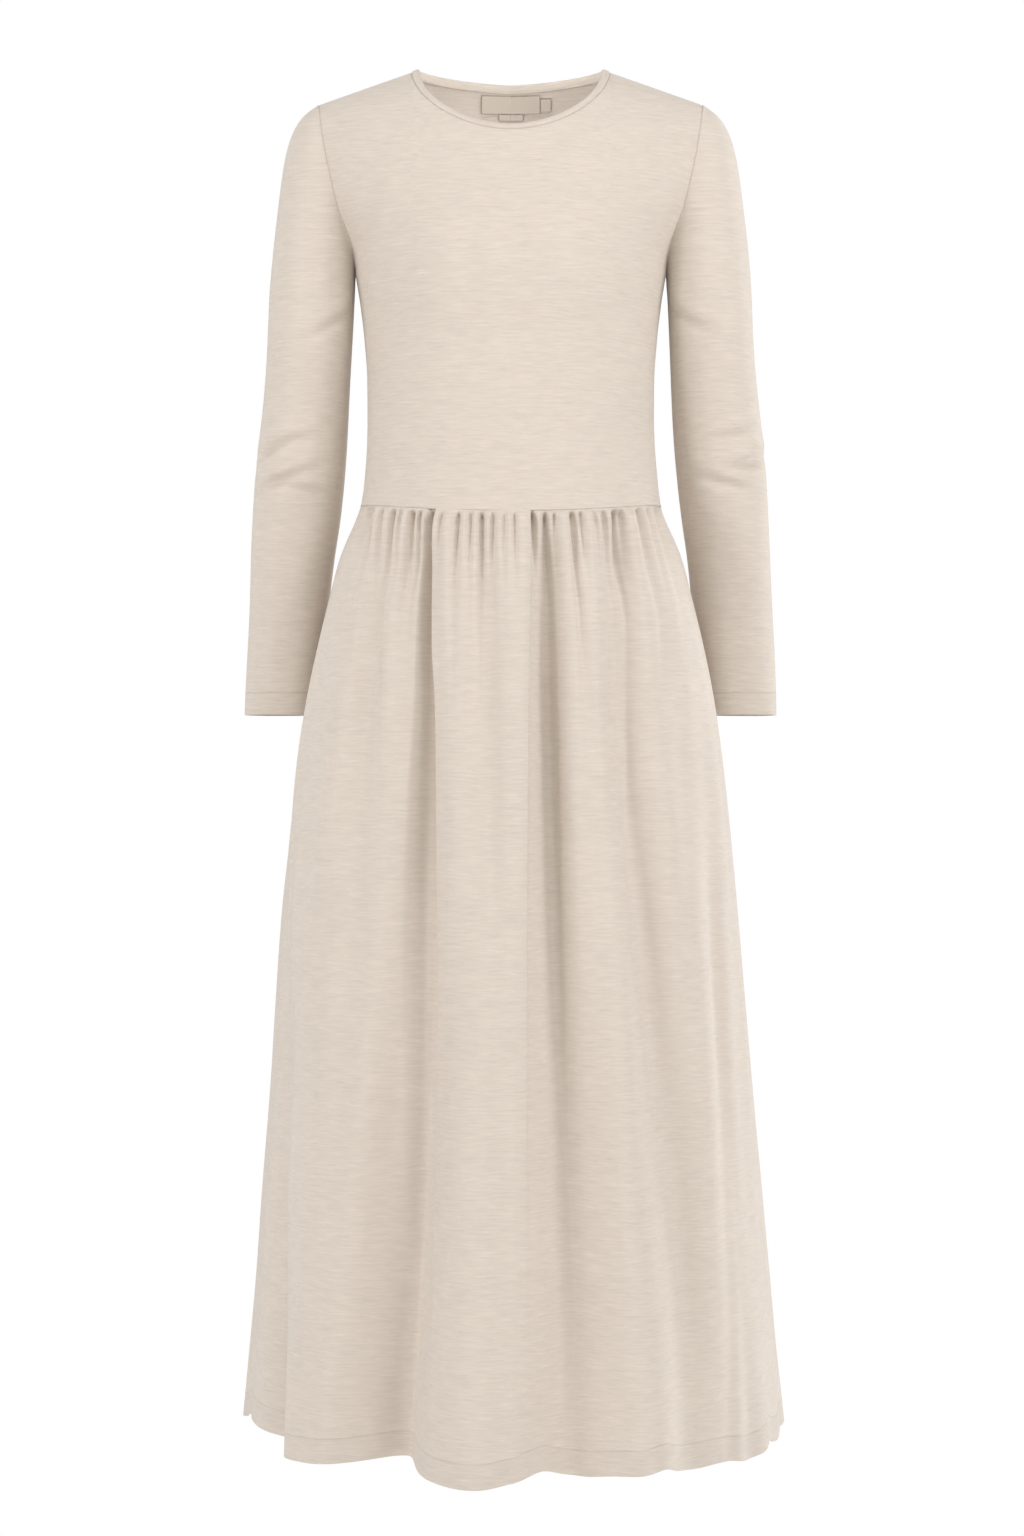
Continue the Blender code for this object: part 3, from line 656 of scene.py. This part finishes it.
def jersey(name, shift, base=(0.640, 0.567, 0.492), stitch_at=None, seams=()):
    """Marl jersey: fine level streaks of lighter and darker yarn, a soft nap and a knit's small relief."""
    made = bpy.data.materials.new(name)
    made.use_nodes = True
    tree = made.node_tree
    shader = tree.nodes["Principled BSDF"]
    shader.inputs["Metallic"].default_value = 0.0
    shader.inputs["Roughness"].default_value = 0.92
    shader.inputs["Specular IOR Level"].default_value = 0.18
    shader.inputs["Sheen Weight"].default_value = 0.40
    shader.inputs["Sheen Roughness"].default_value = 0.55
    shader.inputs["Sheen Tint"].default_value = (1.0, 0.97, 0.93, 1)
    coordinates = tree.nodes.new("ShaderNodeUVMap")
    coordinates.uv_map = "cloth"
    straight = coordinates.outputs[0]
    # The streaks don't lie quite level: they rise and fall a little along the cloth
    wave = math_node(tree, "MULTIPLY", math_node(tree, "SUBTRACT", noise(tree, straight, 0.060, 0.040, shift + 1.3, 2.0, 0.5), 0.5), 0.007)
    lifted = tree.nodes.new("ShaderNodeCombineXYZ")
    tree.links.new(wave, lifted.inputs["Y"])
    moved = tree.nodes.new("ShaderNodeVectorMath")
    moved.operation = "ADD"
    tree.links.new(straight, moved.inputs[0])
    tree.links.new(lifted.outputs[0], moved.inputs[1])
    uv = moved.outputs[0]
    fine = noise(tree, uv, 0.020, 0.0019, shift, 3.5, 0.6)
    slub = noise(tree, uv, 0.019, 0.0023, shift + 5.1, 2.0, 0.5)
    band = noise(tree, uv, 0.060, 0.0070, shift + 9.3, 2.0, 0.5)
    patch = noise(tree, uv, 0.150, 0.090, shift + 2.2, 1.0, 0.5)
    knit = noise(tree, uv, 0.0018, 0.0012, shift + 7.7, 1.0, 0.5)
    # Slubs are rare, so only the noise's top and bottom count
    high = math_node(tree, "SUBTRACT", slub, 0.60)
    high = math_node(tree, "MAXIMUM", high, 0.0)
    low = math_node(tree, "SUBTRACT", 0.38, slub)
    low = math_node(tree, "MAXIMUM", low, 0.0)
    tone = math_node(tree, "MULTIPLY", math_node(tree, "SUBTRACT", fine, 0.5), 0.34)
    tone = math_node(tree, "ADD", tone, math_node(tree, "MULTIPLY", math_node(tree, "SUBTRACT", band, 0.5), 0.09))
    tone = math_node(tree, "ADD", tone, math_node(tree, "MULTIPLY", math_node(tree, "SUBTRACT", patch, 0.5), 0.04))
    tone = math_node(tree, "ADD", tone, math_node(tree, "MULTIPLY", high, 0.45))
    tone = math_node(tree, "SUBTRACT", tone, math_node(tree, "MULTIPLY", low, 0.5))
    tone = math_node(tree, "ADD", tone, 1.0)
    if stitch_at is not None:
        for key, at, wide, strong in stitch_at:
            d = math_node(tree, "SUBTRACT", attribute(tree, key), at)
            d = math_node(tree, "DIVIDE", d, wide)
            line = math_node(tree, "POWER", 2.718, math_node(tree, "MULTIPLY", math_node(tree, "MULTIPLY", d, d), -1.0))
            tone = math_node(tree, "ADD", tone, math_node(tree, "MULTIPLY", line, strong))
            turned = math_node(tree, "LESS_THAN", attribute(tree, key), at)
            tone = math_node(tree, "SUBTRACT", tone, math_node(tree, "MULTIPLY", turned, 0.028))
    # Painted shade: a thin darker line beside each seam, standing in for the shadow in the seam's groove
    for key, at, wide, strong in seams:
        d = math_node(tree, "DIVIDE", math_node(tree, "SUBTRACT", attribute(tree, key), at), wide)
        line = math_node(tree, "POWER", 2.718, math_node(tree, "MULTIPLY", math_node(tree, "MULTIPLY", d, d), -1.0))
        tone = math_node(tree, "ADD", tone, math_node(tree, "MULTIPLY", line, strong))
    colour = tree.nodes.new("ShaderNodeVectorMath")
    colour.operation = "SCALE"
    colour.inputs[0].default_value = base
    tree.links.new(tone, colour.inputs["Scale"])
    tree.links.new(colour.outputs[0], shader.inputs["Base Color"])
    height = math_node(tree, "ADD", math_node(tree, "MULTIPLY", fine, 0.00022), math_node(tree, "MULTIPLY", knit, 0.00026))
    if stitch_at is not None:
        for key, at, wide, strong in stitch_at:
            d = math_node(tree, "SUBTRACT", attribute(tree, key), at)
            d = math_node(tree, "DIVIDE", d, wide)
            line = math_node(tree, "POWER", 2.718, math_node(tree, "MULTIPLY", math_node(tree, "MULTIPLY", d, d), -1.0))
            height = math_node(tree, "ADD", height, math_node(tree, "MULTIPLY", line, 0.0003))
    bump = tree.nodes.new("ShaderNodeBump")
    bump.inputs["Strength"].default_value = 0.55
    bump.inputs["Distance"].default_value = 1.0
    tree.links.new(height, bump.inputs["Height"])
    tree.links.new(bump.outputs[0], shader.inputs["Normal"])
    return made


def finish_piece(piece, node_name, material):
    piece.data.materials.clear()
    piece.data.materials.append(material)
    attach(piece, "root")
    if node_name:
        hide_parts(node_name)
    return piece


# ---------------------------------------------------------------- bodice pieces
def bodice_piece(name, side, cols, shoulder, torso_rows, chest_rows, shift):
    s, points, n = bodice_grid(side, cols, shoulder, torso_rows, chest_rows)
    x, z = points[..., 0], points[..., 2]
    move = 0 * x
    if side < 0:
        # The underarm darts' short creases, and the soft pull lines beside them
        for hand in (-1, 1):
            ax, az, bx, bz = (138.0, -214.0, 131.5, -242.0) if hand < 0 else (132.0, -226.0, 129.0, -234.0)
            ax, az, bx, bz = hand * ax * MM, az * MM, hand * bx * MM, bz * MM
            px, pz = bx - ax, bz - az
            long2 = px * px + pz * pz
            t = np.clip(((x - ax) * px + (z - az) * pz) / long2, 0, 1)
            d = np.hypot(x - ax - t * px, z - az - t * pz)
            move = move - 0.9 * MM * np.exp(-((d / (3.2 * MM)) ** 2))
        # Under the bust the cloth falls in softly, with a little slack above the waist
        move = move - 2.2 * MM * np.exp(-((z + 0.262) / 0.030) ** 2) * np.exp(-(x / 0.095) ** 4)
        move = move + 0.8 * MM * np.sin(x * 52.0 + z * 18.0) * np.exp(-((z + 0.392) / 0.030) ** 2)
        move = move - 0.7 * MM * np.exp(-(((z + 0.352) + 0.10 * np.abs(x)) / 0.010) ** 2) * np.exp(-((np.abs(x) - 0.09) / 0.045) ** 2)
    else:
        move = move - 3.0 * MM * np.exp(-((x / 0.030) ** 2)) * np.clip((-0.05 - z) / 0.10, 0, 1) * np.clip((z + 0.42) / 0.05, 0, 1)
        move = move - 1.2 * MM * np.exp(-(((z + 0.345) - 0.05 * np.abs(x)) / 0.013) ** 2) * np.exp(-((np.abs(x) - 0.06) / 0.05) ** 2)
        move = move - 0.9 * MM * np.exp(-(((z + 0.385) + 0.09 * np.abs(x)) / 0.010) ** 2) * np.exp(-((np.abs(x) - 0.07) / 0.04) ** 2)
    points = points + n * move[..., None]
    left, right = edge_distance(points, "left"), edge_distance(points, "right")
    top, low = edge_distance(points, "top"), edge_distance(points, "low")
    points = rolled(points, n, np.minimum(left, right), 0.35 * MM, 1.8 * MM)
    points = rolled(points, n, top, 0.9 * MM, 1.6 * MM)
    points = rolled(points, n, low, -0.35 * MM, 2.2 * MM)
    uv = cloth_uv(points)
    # Only the armhole's part of the side edge has a painted shade line beside it
    arm = np.minimum(left, right) + 1.0 * (np.arange(points.shape[0]) < torso_rows)[:, None]
    made = lay(
        name, trimmed(points, HALF_GAP, HALF_GAP, HALF_GAP, HALF_GAP), uv,
        extra={"low_in": low, "top_in": top, "arm_in": arm}, flip=side > 0,
    )
    # Painted shade lines in the tone: beside the waist seam, the neck seam (strong at the front, faint at the back) and
    # the armhole
    look = jersey(name + "_look", shift, seams=[("low_in", 0.2 * MM, 0.6 * MM, -0.34), ("top_in", 0.9 * MM, 0.5 * MM, -0.36 if side < 0 else -0.05), ("arm_in", 1.6 * MM, 0.9 * MM, -0.03)])
    return finish_piece(made, name, look), (s, points, n)


def N(count):
    return max(4, int(round(count * FINE)))


TORSO_N, CHEST_N = N(74), N(70)
front, (front_s, front_p, front_n) = bodice_piece("bodice_front", -1, N(46), N(26), TORSO_N, CHEST_N, 0.0)
back, (back_s, back_p, back_n) = bodice_piece("bodice_back", 1, N(40), N(26), TORSO_N, CHEST_N, 31.0)


# ---------------------------------------------------------------- sleeves
# The elbow's drag folds: how far round from the outer edge to the front, where down, how
# long, how deep, how tall and how much they slope
DRAGS = table(
    "hand round z long deep tall slope",
    [
        (-1, 62, -362, 34, 1.6, 5.0, 0.25),
        (-1, 42, -371, 24, 1.3, 4.0, 0.35),
        (-1, 70, -395, 30, 2.3, 5.5, 0.30),
        (-1, 100, -404, 26, 1.6, 5.0, -0.25),
        (1, 52, -378, 34, 2.6, 5.5, -0.30),
        (1, 88, -398, 26, 1.7, 5.0, 0.25),
        (1, 74, -352, 30, 1.2, 4.5, -0.20),
        (-1, -60, -382, 36, 2.0, 6.0, 0.25),
        (-1, -95, -398, 30, 1.8, 6.0, -0.2),
        (1, -58, -386, 36, 2.0, 6.0, 0.25),
        (1, -98, -372, 30, 1.6, 6.0, -0.2),
        (-1, 120, -250, 30, 1.2, 7.0, 0.5),
        (1, 122, -246, 30, 1.2, 7.0, 0.5),
    ],
    (1, 1, MM, 1, MM, MM, 1),
)


def sleeve_ring(z, turns, hand):
    outer = smooth(z, SLEEVE["z"], SLEEVE["outer"])
    inner = smooth(z, SLEEVE["z"], SLEEVE["inner"])
    middle = smooth(z, SLEEVE["z"], SLEEVE["middle"])
    deep = smooth(z, SLEEVE["z"], SLEEVE["depth"])
    x = (outer + inner) / 2 - (outer - inner) / 2 * along(turns, SLEEVE_POWER)
    y = middle - deep * across(turns, SLEEVE_POWER)
    return np.stack([hand * x, y, np.full_like(x, z)], axis=1)


def sleeve_piece(name, hand, shift):
    column, beside = (-1, -2) if hand > 0 else (0, 1)
    rows = list(range(TORSO_N, front_p.shape[0]))
    loop = np.concatenate([front_p[rows, column], back_p[rows[-2:0:-1], column]])
    near = np.concatenate([front_p[rows, beside], back_p[rows[-2:0:-1], beside]])
    side_n = np.concatenate([front_n[rows, column], back_n[rows[-2:0:-1], column]])
    over = loop - near
    over /= np.linalg.norm(over, axis=1, keepdims=True)
    # The seam's own line, before the bodice's edge was turned in
    loop = loop + side_n * 0.35 * MM
    # Spread the points evenly round, so that the rings below are even too
    count = len(loop)
    turns = np.linspace(0, 2 * math.pi, count, endpoint=False)
    seam = loop + over * HALF_GAP * 2
    # The sleeve's edge laps on to the bodice's, as the seam's small ridge
    lapped = [seam - over * 1.1 * MM + side_n * 0.30 * MM, seam - over * 0.6 * MM + side_n * 0.55 * MM]
    loop = seam + side_n * 0.30 * MM
    foot = sleeve_ring(CAP_FOOT_Z, turns, hand)
    out = (1 - np.cos(turns)) / 2
    grid = []
    cap_rows, arm_rows = N(46), N(130)
    falls = np.linspace(0, 1, cap_rows + 1) ** 1.5
    for fall in falls:
        reach = smooth(fall, CAP["fall"], CAP["reach"])
        side = fall + (reach - fall) * out ** 0.7
        row = loop + (foot - loop) * side[:, None]
        row[:, 2] = loop[:, 2] + (foot[:, 2] - loop[:, 2]) * fall
        grid.append(row)
    for z in np.linspace(CAP_FOOT_Z, CUFF_Z, arm_rows + 1)[1:]:
        grid.append(sleeve_ring(z, turns, hand))
    points = np.array(grid)
    # Smooth the join between the cap and the arm
    for _ in range(N(14)):
        middle = (points[:-2] + points[2:]) / 2
        k = slice(cap_rows - 8, cap_rows + 12)
        points[1:-1][k] = 0.5 * points[1:-1][k] + 0.5 * middle[k]
    n = normals_of(points, looped=True)
    centre = points.mean(axis=1, keepdims=True)
    if np.sum(n[:, :, :2] * (points - centre)[:, :, :2]) < 0:
        n = -n
    # round: degrees from the outer edge, positive to the front
    rounds = 180 - np.degrees(turns)
    z = points[..., 2]
    move = 0 * z
    for k in range(len(DRAGS["z"])):
        if DRAGS["hand"][k] != hand:
            continue
        off = (rounds[None, :] - DRAGS["round"][k] + 180) % 360 - 180
        line = z - DRAGS["z"][k] - DRAGS["slope"][k] * np.radians(off) * 0.045
        ends = np.exp(-((off / DRAGS["long"][k]) ** 2))
        fold = -np.exp(-((line / DRAGS["tall"][k]) ** 2)) + 0.7 * np.exp(-(((line - 1.9 * DRAGS["tall"][k]) / (1.3 * DRAGS["tall"][k])) ** 2))
        move = move + 2.4 * DRAGS["deep"][k] * fold * ends
    # A slow unevenness down the arm, as hung jersey has
    move = move + 0.7 * MM * np.sin(z * 31 + 2.2 * np.sin(turns)[None, :] + shift) * np.clip((-0.12 - z) / 0.1, 0, 1)
    # The pressed line near the outer edge of the right sleeve's front
    if hand < 0:
        off = rounds[None, :] - 33
        move = move - 0.35 * MM * np.exp(-((off / 2.5) ** 2)) * np.clip((z + 0.30) / 0.04, 0, 1) * np.clip((-0.15 - z) / 0.04, 0, 1)
    ease = np.clip(edge_distance(points, "low") / 0.02, 0, 1)
    points = points + n * (move * ease)[..., None]
    first = edge_distance(points, "low")
    ridge = 0.20 * MM * np.exp(-((first / (1.0 * MM)) ** 2)) - 0.12 * MM * np.exp(-(((first - 2.4 * MM) / (1.3 * MM)) ** 2))
    points = points + n * ridge[..., None]
    points = np.concatenate([np.array(lapped), points])
    last = edge_distance(points, "top")
    uv = cloth_uv(points, looped=True)
    look = jersey(name + "_look", shift, stitch_at=[("end_in", CUFF_DEEP, 0.0007, -0.15)])
    made = lay(name, points, uv, looped=True, extra={"end_in": last}, flip=hand > 0)
    return finish_piece(made, name, look), points


sleeve_l, _ = sleeve_piece("sleeve_left", 1, 57.0)
sleeve_r, _ = sleeve_piece("sleeve_right", -1, 83.0)


# ---------------------------------------------------------------- skirt
def skirt_piece(name, start, stop, columns, shift, front_side):
    rows = N(122)
    t = np.linspace(0, 1, rows + 1)
    down = 0.17 * t + 0.83 * t ** 2.1
    down = down[::-1]
    turn = skirt_turns(start, stop, columns, down, front_side)
    x, y, z, ox, oy, stand, degrees = skirt_points(turn, down)
    small = gathers(x, z, front_side, turn)
    fallen, over = laps(x, z, front_side)
    small = small + fallen + valleys(x, z, front_side)
    # Slow unevenness of a soft skirt, different on every fold
    drop = np.clip((WAIST_SIDE_Z - z) / 0.9, 0, 1)
    slow = 1.4 * MM * np.sin(degrees * 0.21 + z * 7.3 + shift) * np.clip(drop * 4, 0, 1)
    slow = slow + 0.9 * MM * np.sin(degrees * 0.47 - z * 11.0 + 1.7 * shift) * np.clip(drop * 3, 0, 1)
    # No gather at the very side seams, where the cloth hangs flat against the sleeve
    calm = 1 - np.exp(-((np.abs(np.abs(degrees if front_side else degrees - 180) - 90)) / 7.0) ** 2)
    total = stand + small + slow * calm
    x, y = x + ox * total + over, y + oy * total
    part = np.clip(-x / smooth(z, SKIRT["z"], SKIRT["half"]), 0, 1.3)
    x = x - smooth(z, EDGE_TRIM["z"], EDGE_TRIM["left"]) * np.clip(part, 0, 1) ** 3
    points = np.stack([x, y, z], axis=-1)
    # The cloth carries on a little, up behind the bodice's edge
    lift = np.array([0, 0, 1.0])
    inward = np.stack([-ox[-1], -oy[-1], 0 * ox[-1]], axis=-1)
    points[-1] += inward * 0.8 * MM
    under = [points[-1] + lift * 0.6 * MM + inward * 0.6 * MM, points[-1] + lift * 3.0 * MM + inward * 1.2 * MM]
    points = np.concatenate([points, np.array(under)])
    n = normals_of(points)
    if not front_side:
        for edge, beside in ((0, 1), (-1, -2)):
            on = points[:, edge] - points[:, beside]
            on /= np.linalg.norm(on, axis=1, keepdims=True)
            points[:, edge] += on * 2.5 * MM - n[:, edge] * 1.4 * MM
            points[:, beside] = points[:, edge] - on * 2.9 * MM + n[:, edge] * 0.3 * MM
    uv = cloth_uv(points)
    look = jersey(name + "_look", shift, stitch_at=[("hem_in", HEM_DEEP, 0.0007, -0.11)])
    hem = points[..., 2] - points[:1, :, 2]
    made = lay(
        name, points, uv,
        extra={"hem_in": hem}, flip=False,
    )
    return finish_piece(made, name, look)


skirt_f = skirt_piece("skirt_front", -90, 90, (N(132), N(98), N(134)), 11.0, True)
skirt_b = skirt_piece("skirt_back", 90, 270, (N(90), N(70), N(90)), 23.0, False)


# ---------------------------------------------------------------- neckband
def neckband():
    def inside(s, points, n, side):
        keep = [j for j, a in enumerate(s) if abs(a) <= neck_column(side) + 1e-9]
        return keep

    f = inside(front_s, front_p, front_n, -1)
    b = inside(back_s, back_p, back_n, 1)[::-1][1:-1]
    seam = np.concatenate([front_p[-1, f], back_p[-1, b]])
    n0 = np.concatenate([front_n[-1, f], back_n[-1, b]])

    def even(values, at, count):
        """The loop's values at even steps along it."""
        wanted = np.linspace(0, at[-1], count, endpoint=False)
        closed = np.vstack([values, values[:1]])
        return np.stack([np.interp(wanted, at, closed[:, k]) for k in range(3)], axis=1)

    def eased(values, steps):
        """The loop's values, each averaged with those beside it."""
        reach = int(3 * steps)
        weights = np.exp(-0.5 * (np.arange(-reach, reach + 1) / steps) ** 2)
        total = sum(w * np.roll(values, k - reach, axis=0) for k, w in enumerate(weights))
        return total / weights.sum()

    def units(values):
        return values / np.linalg.norm(values, axis=1, keepdims=True)

    length = np.linalg.norm(np.diff(np.vstack([seam, seam[:1]]), axis=0), axis=1)
    at = np.concatenate([[0], np.cumsum(length)])
    count = N(360)
    step = at[-1] / count
    n0 = units(eased(even(n0, at, count), 4 * MM / step))
    seam = eased(even(seam, at, count), 1.5 * MM / step) + n0 * 0.5 * MM
    centre = np.array([0.0, -0.012, 0.0])
    flat = units((centre - seam) * (1, 1, 0))
    turn = np.arctan2(np.abs(seam[:, 0]), -(seam[:, 1] - centre[1]))
    lean = flat * smooth(turn, BAND_LEAN["round"], BAND_LEAN["inwards"])[:, None]
    lean = lean + np.array([0, 0, 1.0]) * smooth(turn, BAND_LEAN["round"], BAND_LEAN["up"])[:, None]
    lean = units(eased(units(lean), 5 * MM / step))
    tangent = units(eased(np.roll(seam, -1, axis=0) - np.roll(seam, 1, axis=0), 5 * MM / step))
    face = units(np.cross(tangent, lean))
    if np.sum(face * (seam - centre)) < 0:
        face = -face
    lean = units(np.cross(face, tangent) * np.sign(np.sum(np.cross(face, tangent) * lean, axis=1, keepdims=True)))
    # A folded binding: from the seam out and over its rounded edge and down inside
    profile = table(
        "up out",
        [
            (0.2, -1.6), (0.1, -0.4), (0.3, 0.6), (1.2, 1.25), (3.4, 1.45), (5.4, 1.2), (7.0, 0.6),
            (7.8, -0.3), (7.9, -1.1), (7.3, -1.9), (5.8, -2.3), (3.4, -2.4), (1.0, -2.2), (-0.3, -1.9),
        ],
        (MM, MM),
    )
    rows = [seam + lean * a + face * b for a, b in zip(profile["up"], profile["out"])]
    points = np.array(rows)
    around = np.linalg.norm(np.diff(np.vstack([seam, seam[:1]]), axis=0), axis=1)
    u = np.concatenate([[0], np.cumsum(around)[:-1]])
    v = np.cumsum(np.concatenate([[0], np.hypot(np.diff(profile["up"]), np.diff(profile["out"]))]))
    uv = np.stack(np.meshgrid(u, v), axis=-1)
    made = lay("neckband", points, uv, looped=True, wall=0.5 * MM)
    return finish_piece(made, "neckband", jersey("neckband_look", 3.3, base=(0.655, 0.580, 0.503)))


band = neckband()


# ---------------------------------------------------------------- labels
def woven(name, base):
    made = bpy.data.materials.new(name)
    made.use_nodes = True
    tree = made.node_tree
    shader = tree.nodes["Principled BSDF"]
    shader.inputs["Roughness"].default_value = 0.75
    # Painted shade: a thin darker line along the tape's sides and lower edge, standing in for the shadow under them
    d = math_node(tree, "DIVIDE", attribute(tree, "rim_in"), 0.55 * MM)
    line = math_node(tree, "POWER", 2.718, math_node(tree, "MULTIPLY", math_node(tree, "MULTIPLY", d, d), -1.0))
    colour = tree.nodes.new("ShaderNodeVectorMath")
    colour.operation = "SCALE"
    colour.inputs[0].default_value = base
    tree.links.new(math_node(tree, "SUBTRACT", 1.0, math_node(tree, "MULTIPLY", line, 0.42)), colour.inputs["Scale"])
    tree.links.new(colour.outputs[0], shader.inputs["Base Color"])
    shader.inputs["Specular IOR Level"].default_value = 0.25
    coordinates = tree.nodes.new("ShaderNodeUVMap")
    coordinates.uv_map = "cloth"
    grain = noise(tree, coordinates.outputs[0], 0.0008, 0.0006, 4.0, 1.0, 0.5)
    bump = tree.nodes.new("ShaderNodeBump")
    bump.inputs["Strength"].default_value = 0.4
    bump.inputs["Distance"].default_value = 1.0
    tree.links.new(math_node(tree, "MULTIPLY", grain, 0.00012), bump.inputs["Height"])
    tree.links.new(bump.outputs[0], shader.inputs["Normal"])
    return made


LABELS = table(
    "left right top low",
    [(-29.0, 29.0, -14.5, -30.5), (-12.0, 12.5, -30.9, -36.8), (29.3, 39.8, -17.5, -29.0)],
    (MM, MM, MM, MM),
)


def inside_back(x, z):
    low, high = 0 * x, 0 * x + math.pi / 2
    for _ in range(45):
        rise = (low + high) / 2
        reach = smooth(rise, ARMHOLE["rise"], ARMHOLE["x"])
        seam = smooth(rise, ARMHOLE["rise"], ARMHOLE["round_back"])
        part = np.clip(np.abs(x) / reach * across(seam, TORSO_POWER), 0, 1)
        s = np.sign(x) * np.arcsin(part ** (TORSO_POWER / 2)) / seam
        p = chest(s, rise, 1)
        under = p[..., 2] < z
        low, high = np.where(under, rise, low), np.where(under, high, rise)
    return p


for k, name in enumerate(("label_main", "label_care", "label_size")):
    left, right, top, low = (LABELS[c][k] for c in ("left", "right", "top", "low"))
    gx, gz = np.meshgrid(np.linspace(left, right, 121), np.linspace(low, top, 41))
    points = inside_back(gx, gz)
    n = normals_of(points)
    if n[..., 1].mean() > 0:
        n = -n
    stand = 3.2 * MM + (0.25 * MM) * np.sin(gx * 140 + k)
    points = points + n * stand[..., None]
    uv = np.stack([gx, gz], axis=-1)
    # Distance to the label's sides and lower edge, which carries its painted shade line
    rim = np.minimum(np.minimum(gx - left, right - gx), gz - low)
    made = lay(name, points, uv, wall=0.5 * MM, extra={"rim_in": rim}, flip=False)
    finish_piece(made, name, woven(name + "_look", (0.585, 0.508, 0.432)))

# ---------------------------------------------------------------- stage
white = bpy.data.materials.new("backdrop_white")
white.use_nodes = True
white.node_tree.nodes["Principled BSDF"].inputs["Base Color"].default_value = (0.9, 0.9, 0.9, 1)
white.node_tree.nodes["Principled BSDF"].inputs["Roughness"].default_value = 1.0
floor_mesh = bpy.data.meshes.new("floor")
floor_mesh.from_pydata([(-3, -3.2, -1.8), (3, -3.2, -1.8), (3, 0.85, -1.8), (-3, 0.85, -1.8)], [], [(0, 1, 2, 3)])
floor = bpy.data.objects.new("floor", floor_mesh)
bpy.context.scene.collection.objects.link(floor)
floor_mesh.materials.append(white)

AROUND = 0.44
scene = bpy.context.scene
scene.view_settings.view_transform = "Standard"
scene.view_settings.look = "None"
scene.view_settings.exposure = 0.0
world = bpy.data.worlds.new("studio")
world.use_nodes = True
scene.world = world
tree = world.node_tree
background = tree.nodes["Background"]
background.inputs["Color"].default_value = (1.0, 0.955, 0.90, 1)
background.inputs["Strength"].default_value = AROUND
# The paper behind is white, but lights the cloth less than it shines
paper = tree.nodes.new("ShaderNodeBackground")
paper.inputs["Color"].default_value = (1.0, 1.0, 1.0, 1)
paper.inputs["Strength"].default_value = 1.0
seen = tree.nodes.new("ShaderNodeLightPath")
either = tree.nodes.new("ShaderNodeMixShader")
tree.links.new(seen.outputs["Is Camera Ray"], either.inputs[0])
tree.links.new(background.outputs[0], either.inputs[1])
tree.links.new(paper.outputs[0], either.inputs[2])
tree.links.new(either.outputs[0], tree.nodes["World Output"].inputs["Surface"])


def light(name, place, aim, size, power, colour):
    data = bpy.data.lights.new(name, "AREA")
    data.shape = "RECTANGLE"
    data.size, data.size_y = size
    data.energy = power
    data.color = colour
    lamp = bpy.data.objects.new(name, data)
    scene.collection.objects.link(lamp)
    lamp.location = place
    way = np.array(aim, float) - np.array(place, float)
    way /= np.linalg.norm(way)
    from mathutils import Vector

    lamp.rotation_euler = Vector(way).to_track_quat("-Z", "Y").to_euler()
    lamp.visible_camera = False
    return lamp


light("key_low", (-1.9, -1.9, -0.85), (0, 0, -1.0), (0.5, 0.9), 14.0, (1.0, 1.02, 1.05))
light("key_high", (1.8, -2.2, 0.3), (0.05, 0, -0.35), (0.8, 0.8), 13.5, (1.0, 1.02, 1.05))
light("fill", (0.4, -3.3, -0.4), (0, 0, -0.65), (1.2, 1.4), 5.5, (1.0, 1.02, 1.05))
light("left", (-2.3, -1.2, 0.0), (-0.15, 0, -0.45), (0.9, 0.9), 12.0, (1.0, 1.02, 1.05))
light("right", (2.6, -1.4, 0.0), (0, 0, -0.65), (1.0, 1.8), 24.5, (1.0, 1.02, 1.05))
light("side_right", (2.3, 1.5, -0.5), (0, 0, -0.7), (1.0, 2.2), 26.0, (1.0, 1.02, 1.05))
light("side_left", (-2.3, 1.5, -0.3), (0, 0, -0.5), (1.0, 1.8), 11.0, (1.0, 1.02, 1.05))
light("back", (0.4, 3.2, 0.0), (0, 0, -0.65), (1.2, 1.6), 20.0, (1.0, 1.0, 1.0))
light("above", (0.0, -1.4, 1.4), (0, 0, -0.05), (1.4, 0.8), 15.0, (1.0, 1.02, 1.05))
# A small lamp below the neckline lifts the inside of the back neck
light("neck_fill", (0.0, -0.035, -0.095), (0, 0.045, -0.015), (0.17, 0.03), 0.095, (1.0, 1.0, 1.0))

camera_data = bpy.data.cameras.new("camera")
camera_data.sensor_fit = "VERTICAL"
camera_data.sensor_height = 36.0
camera_data.sensor_width = 24.0
camera_data.lens = 36.0 * 3.4 / 1.47456
camera_data.clip_start, camera_data.clip_end = 0.1, 50
camera = bpy.data.objects.new("camera", camera_data)
scene.collection.objects.link(camera)
camera.location = (0.0012, -3.4, -0.670)
camera.rotation_euler = (math.pi / 2, 0, 0)
scene.camera = camera
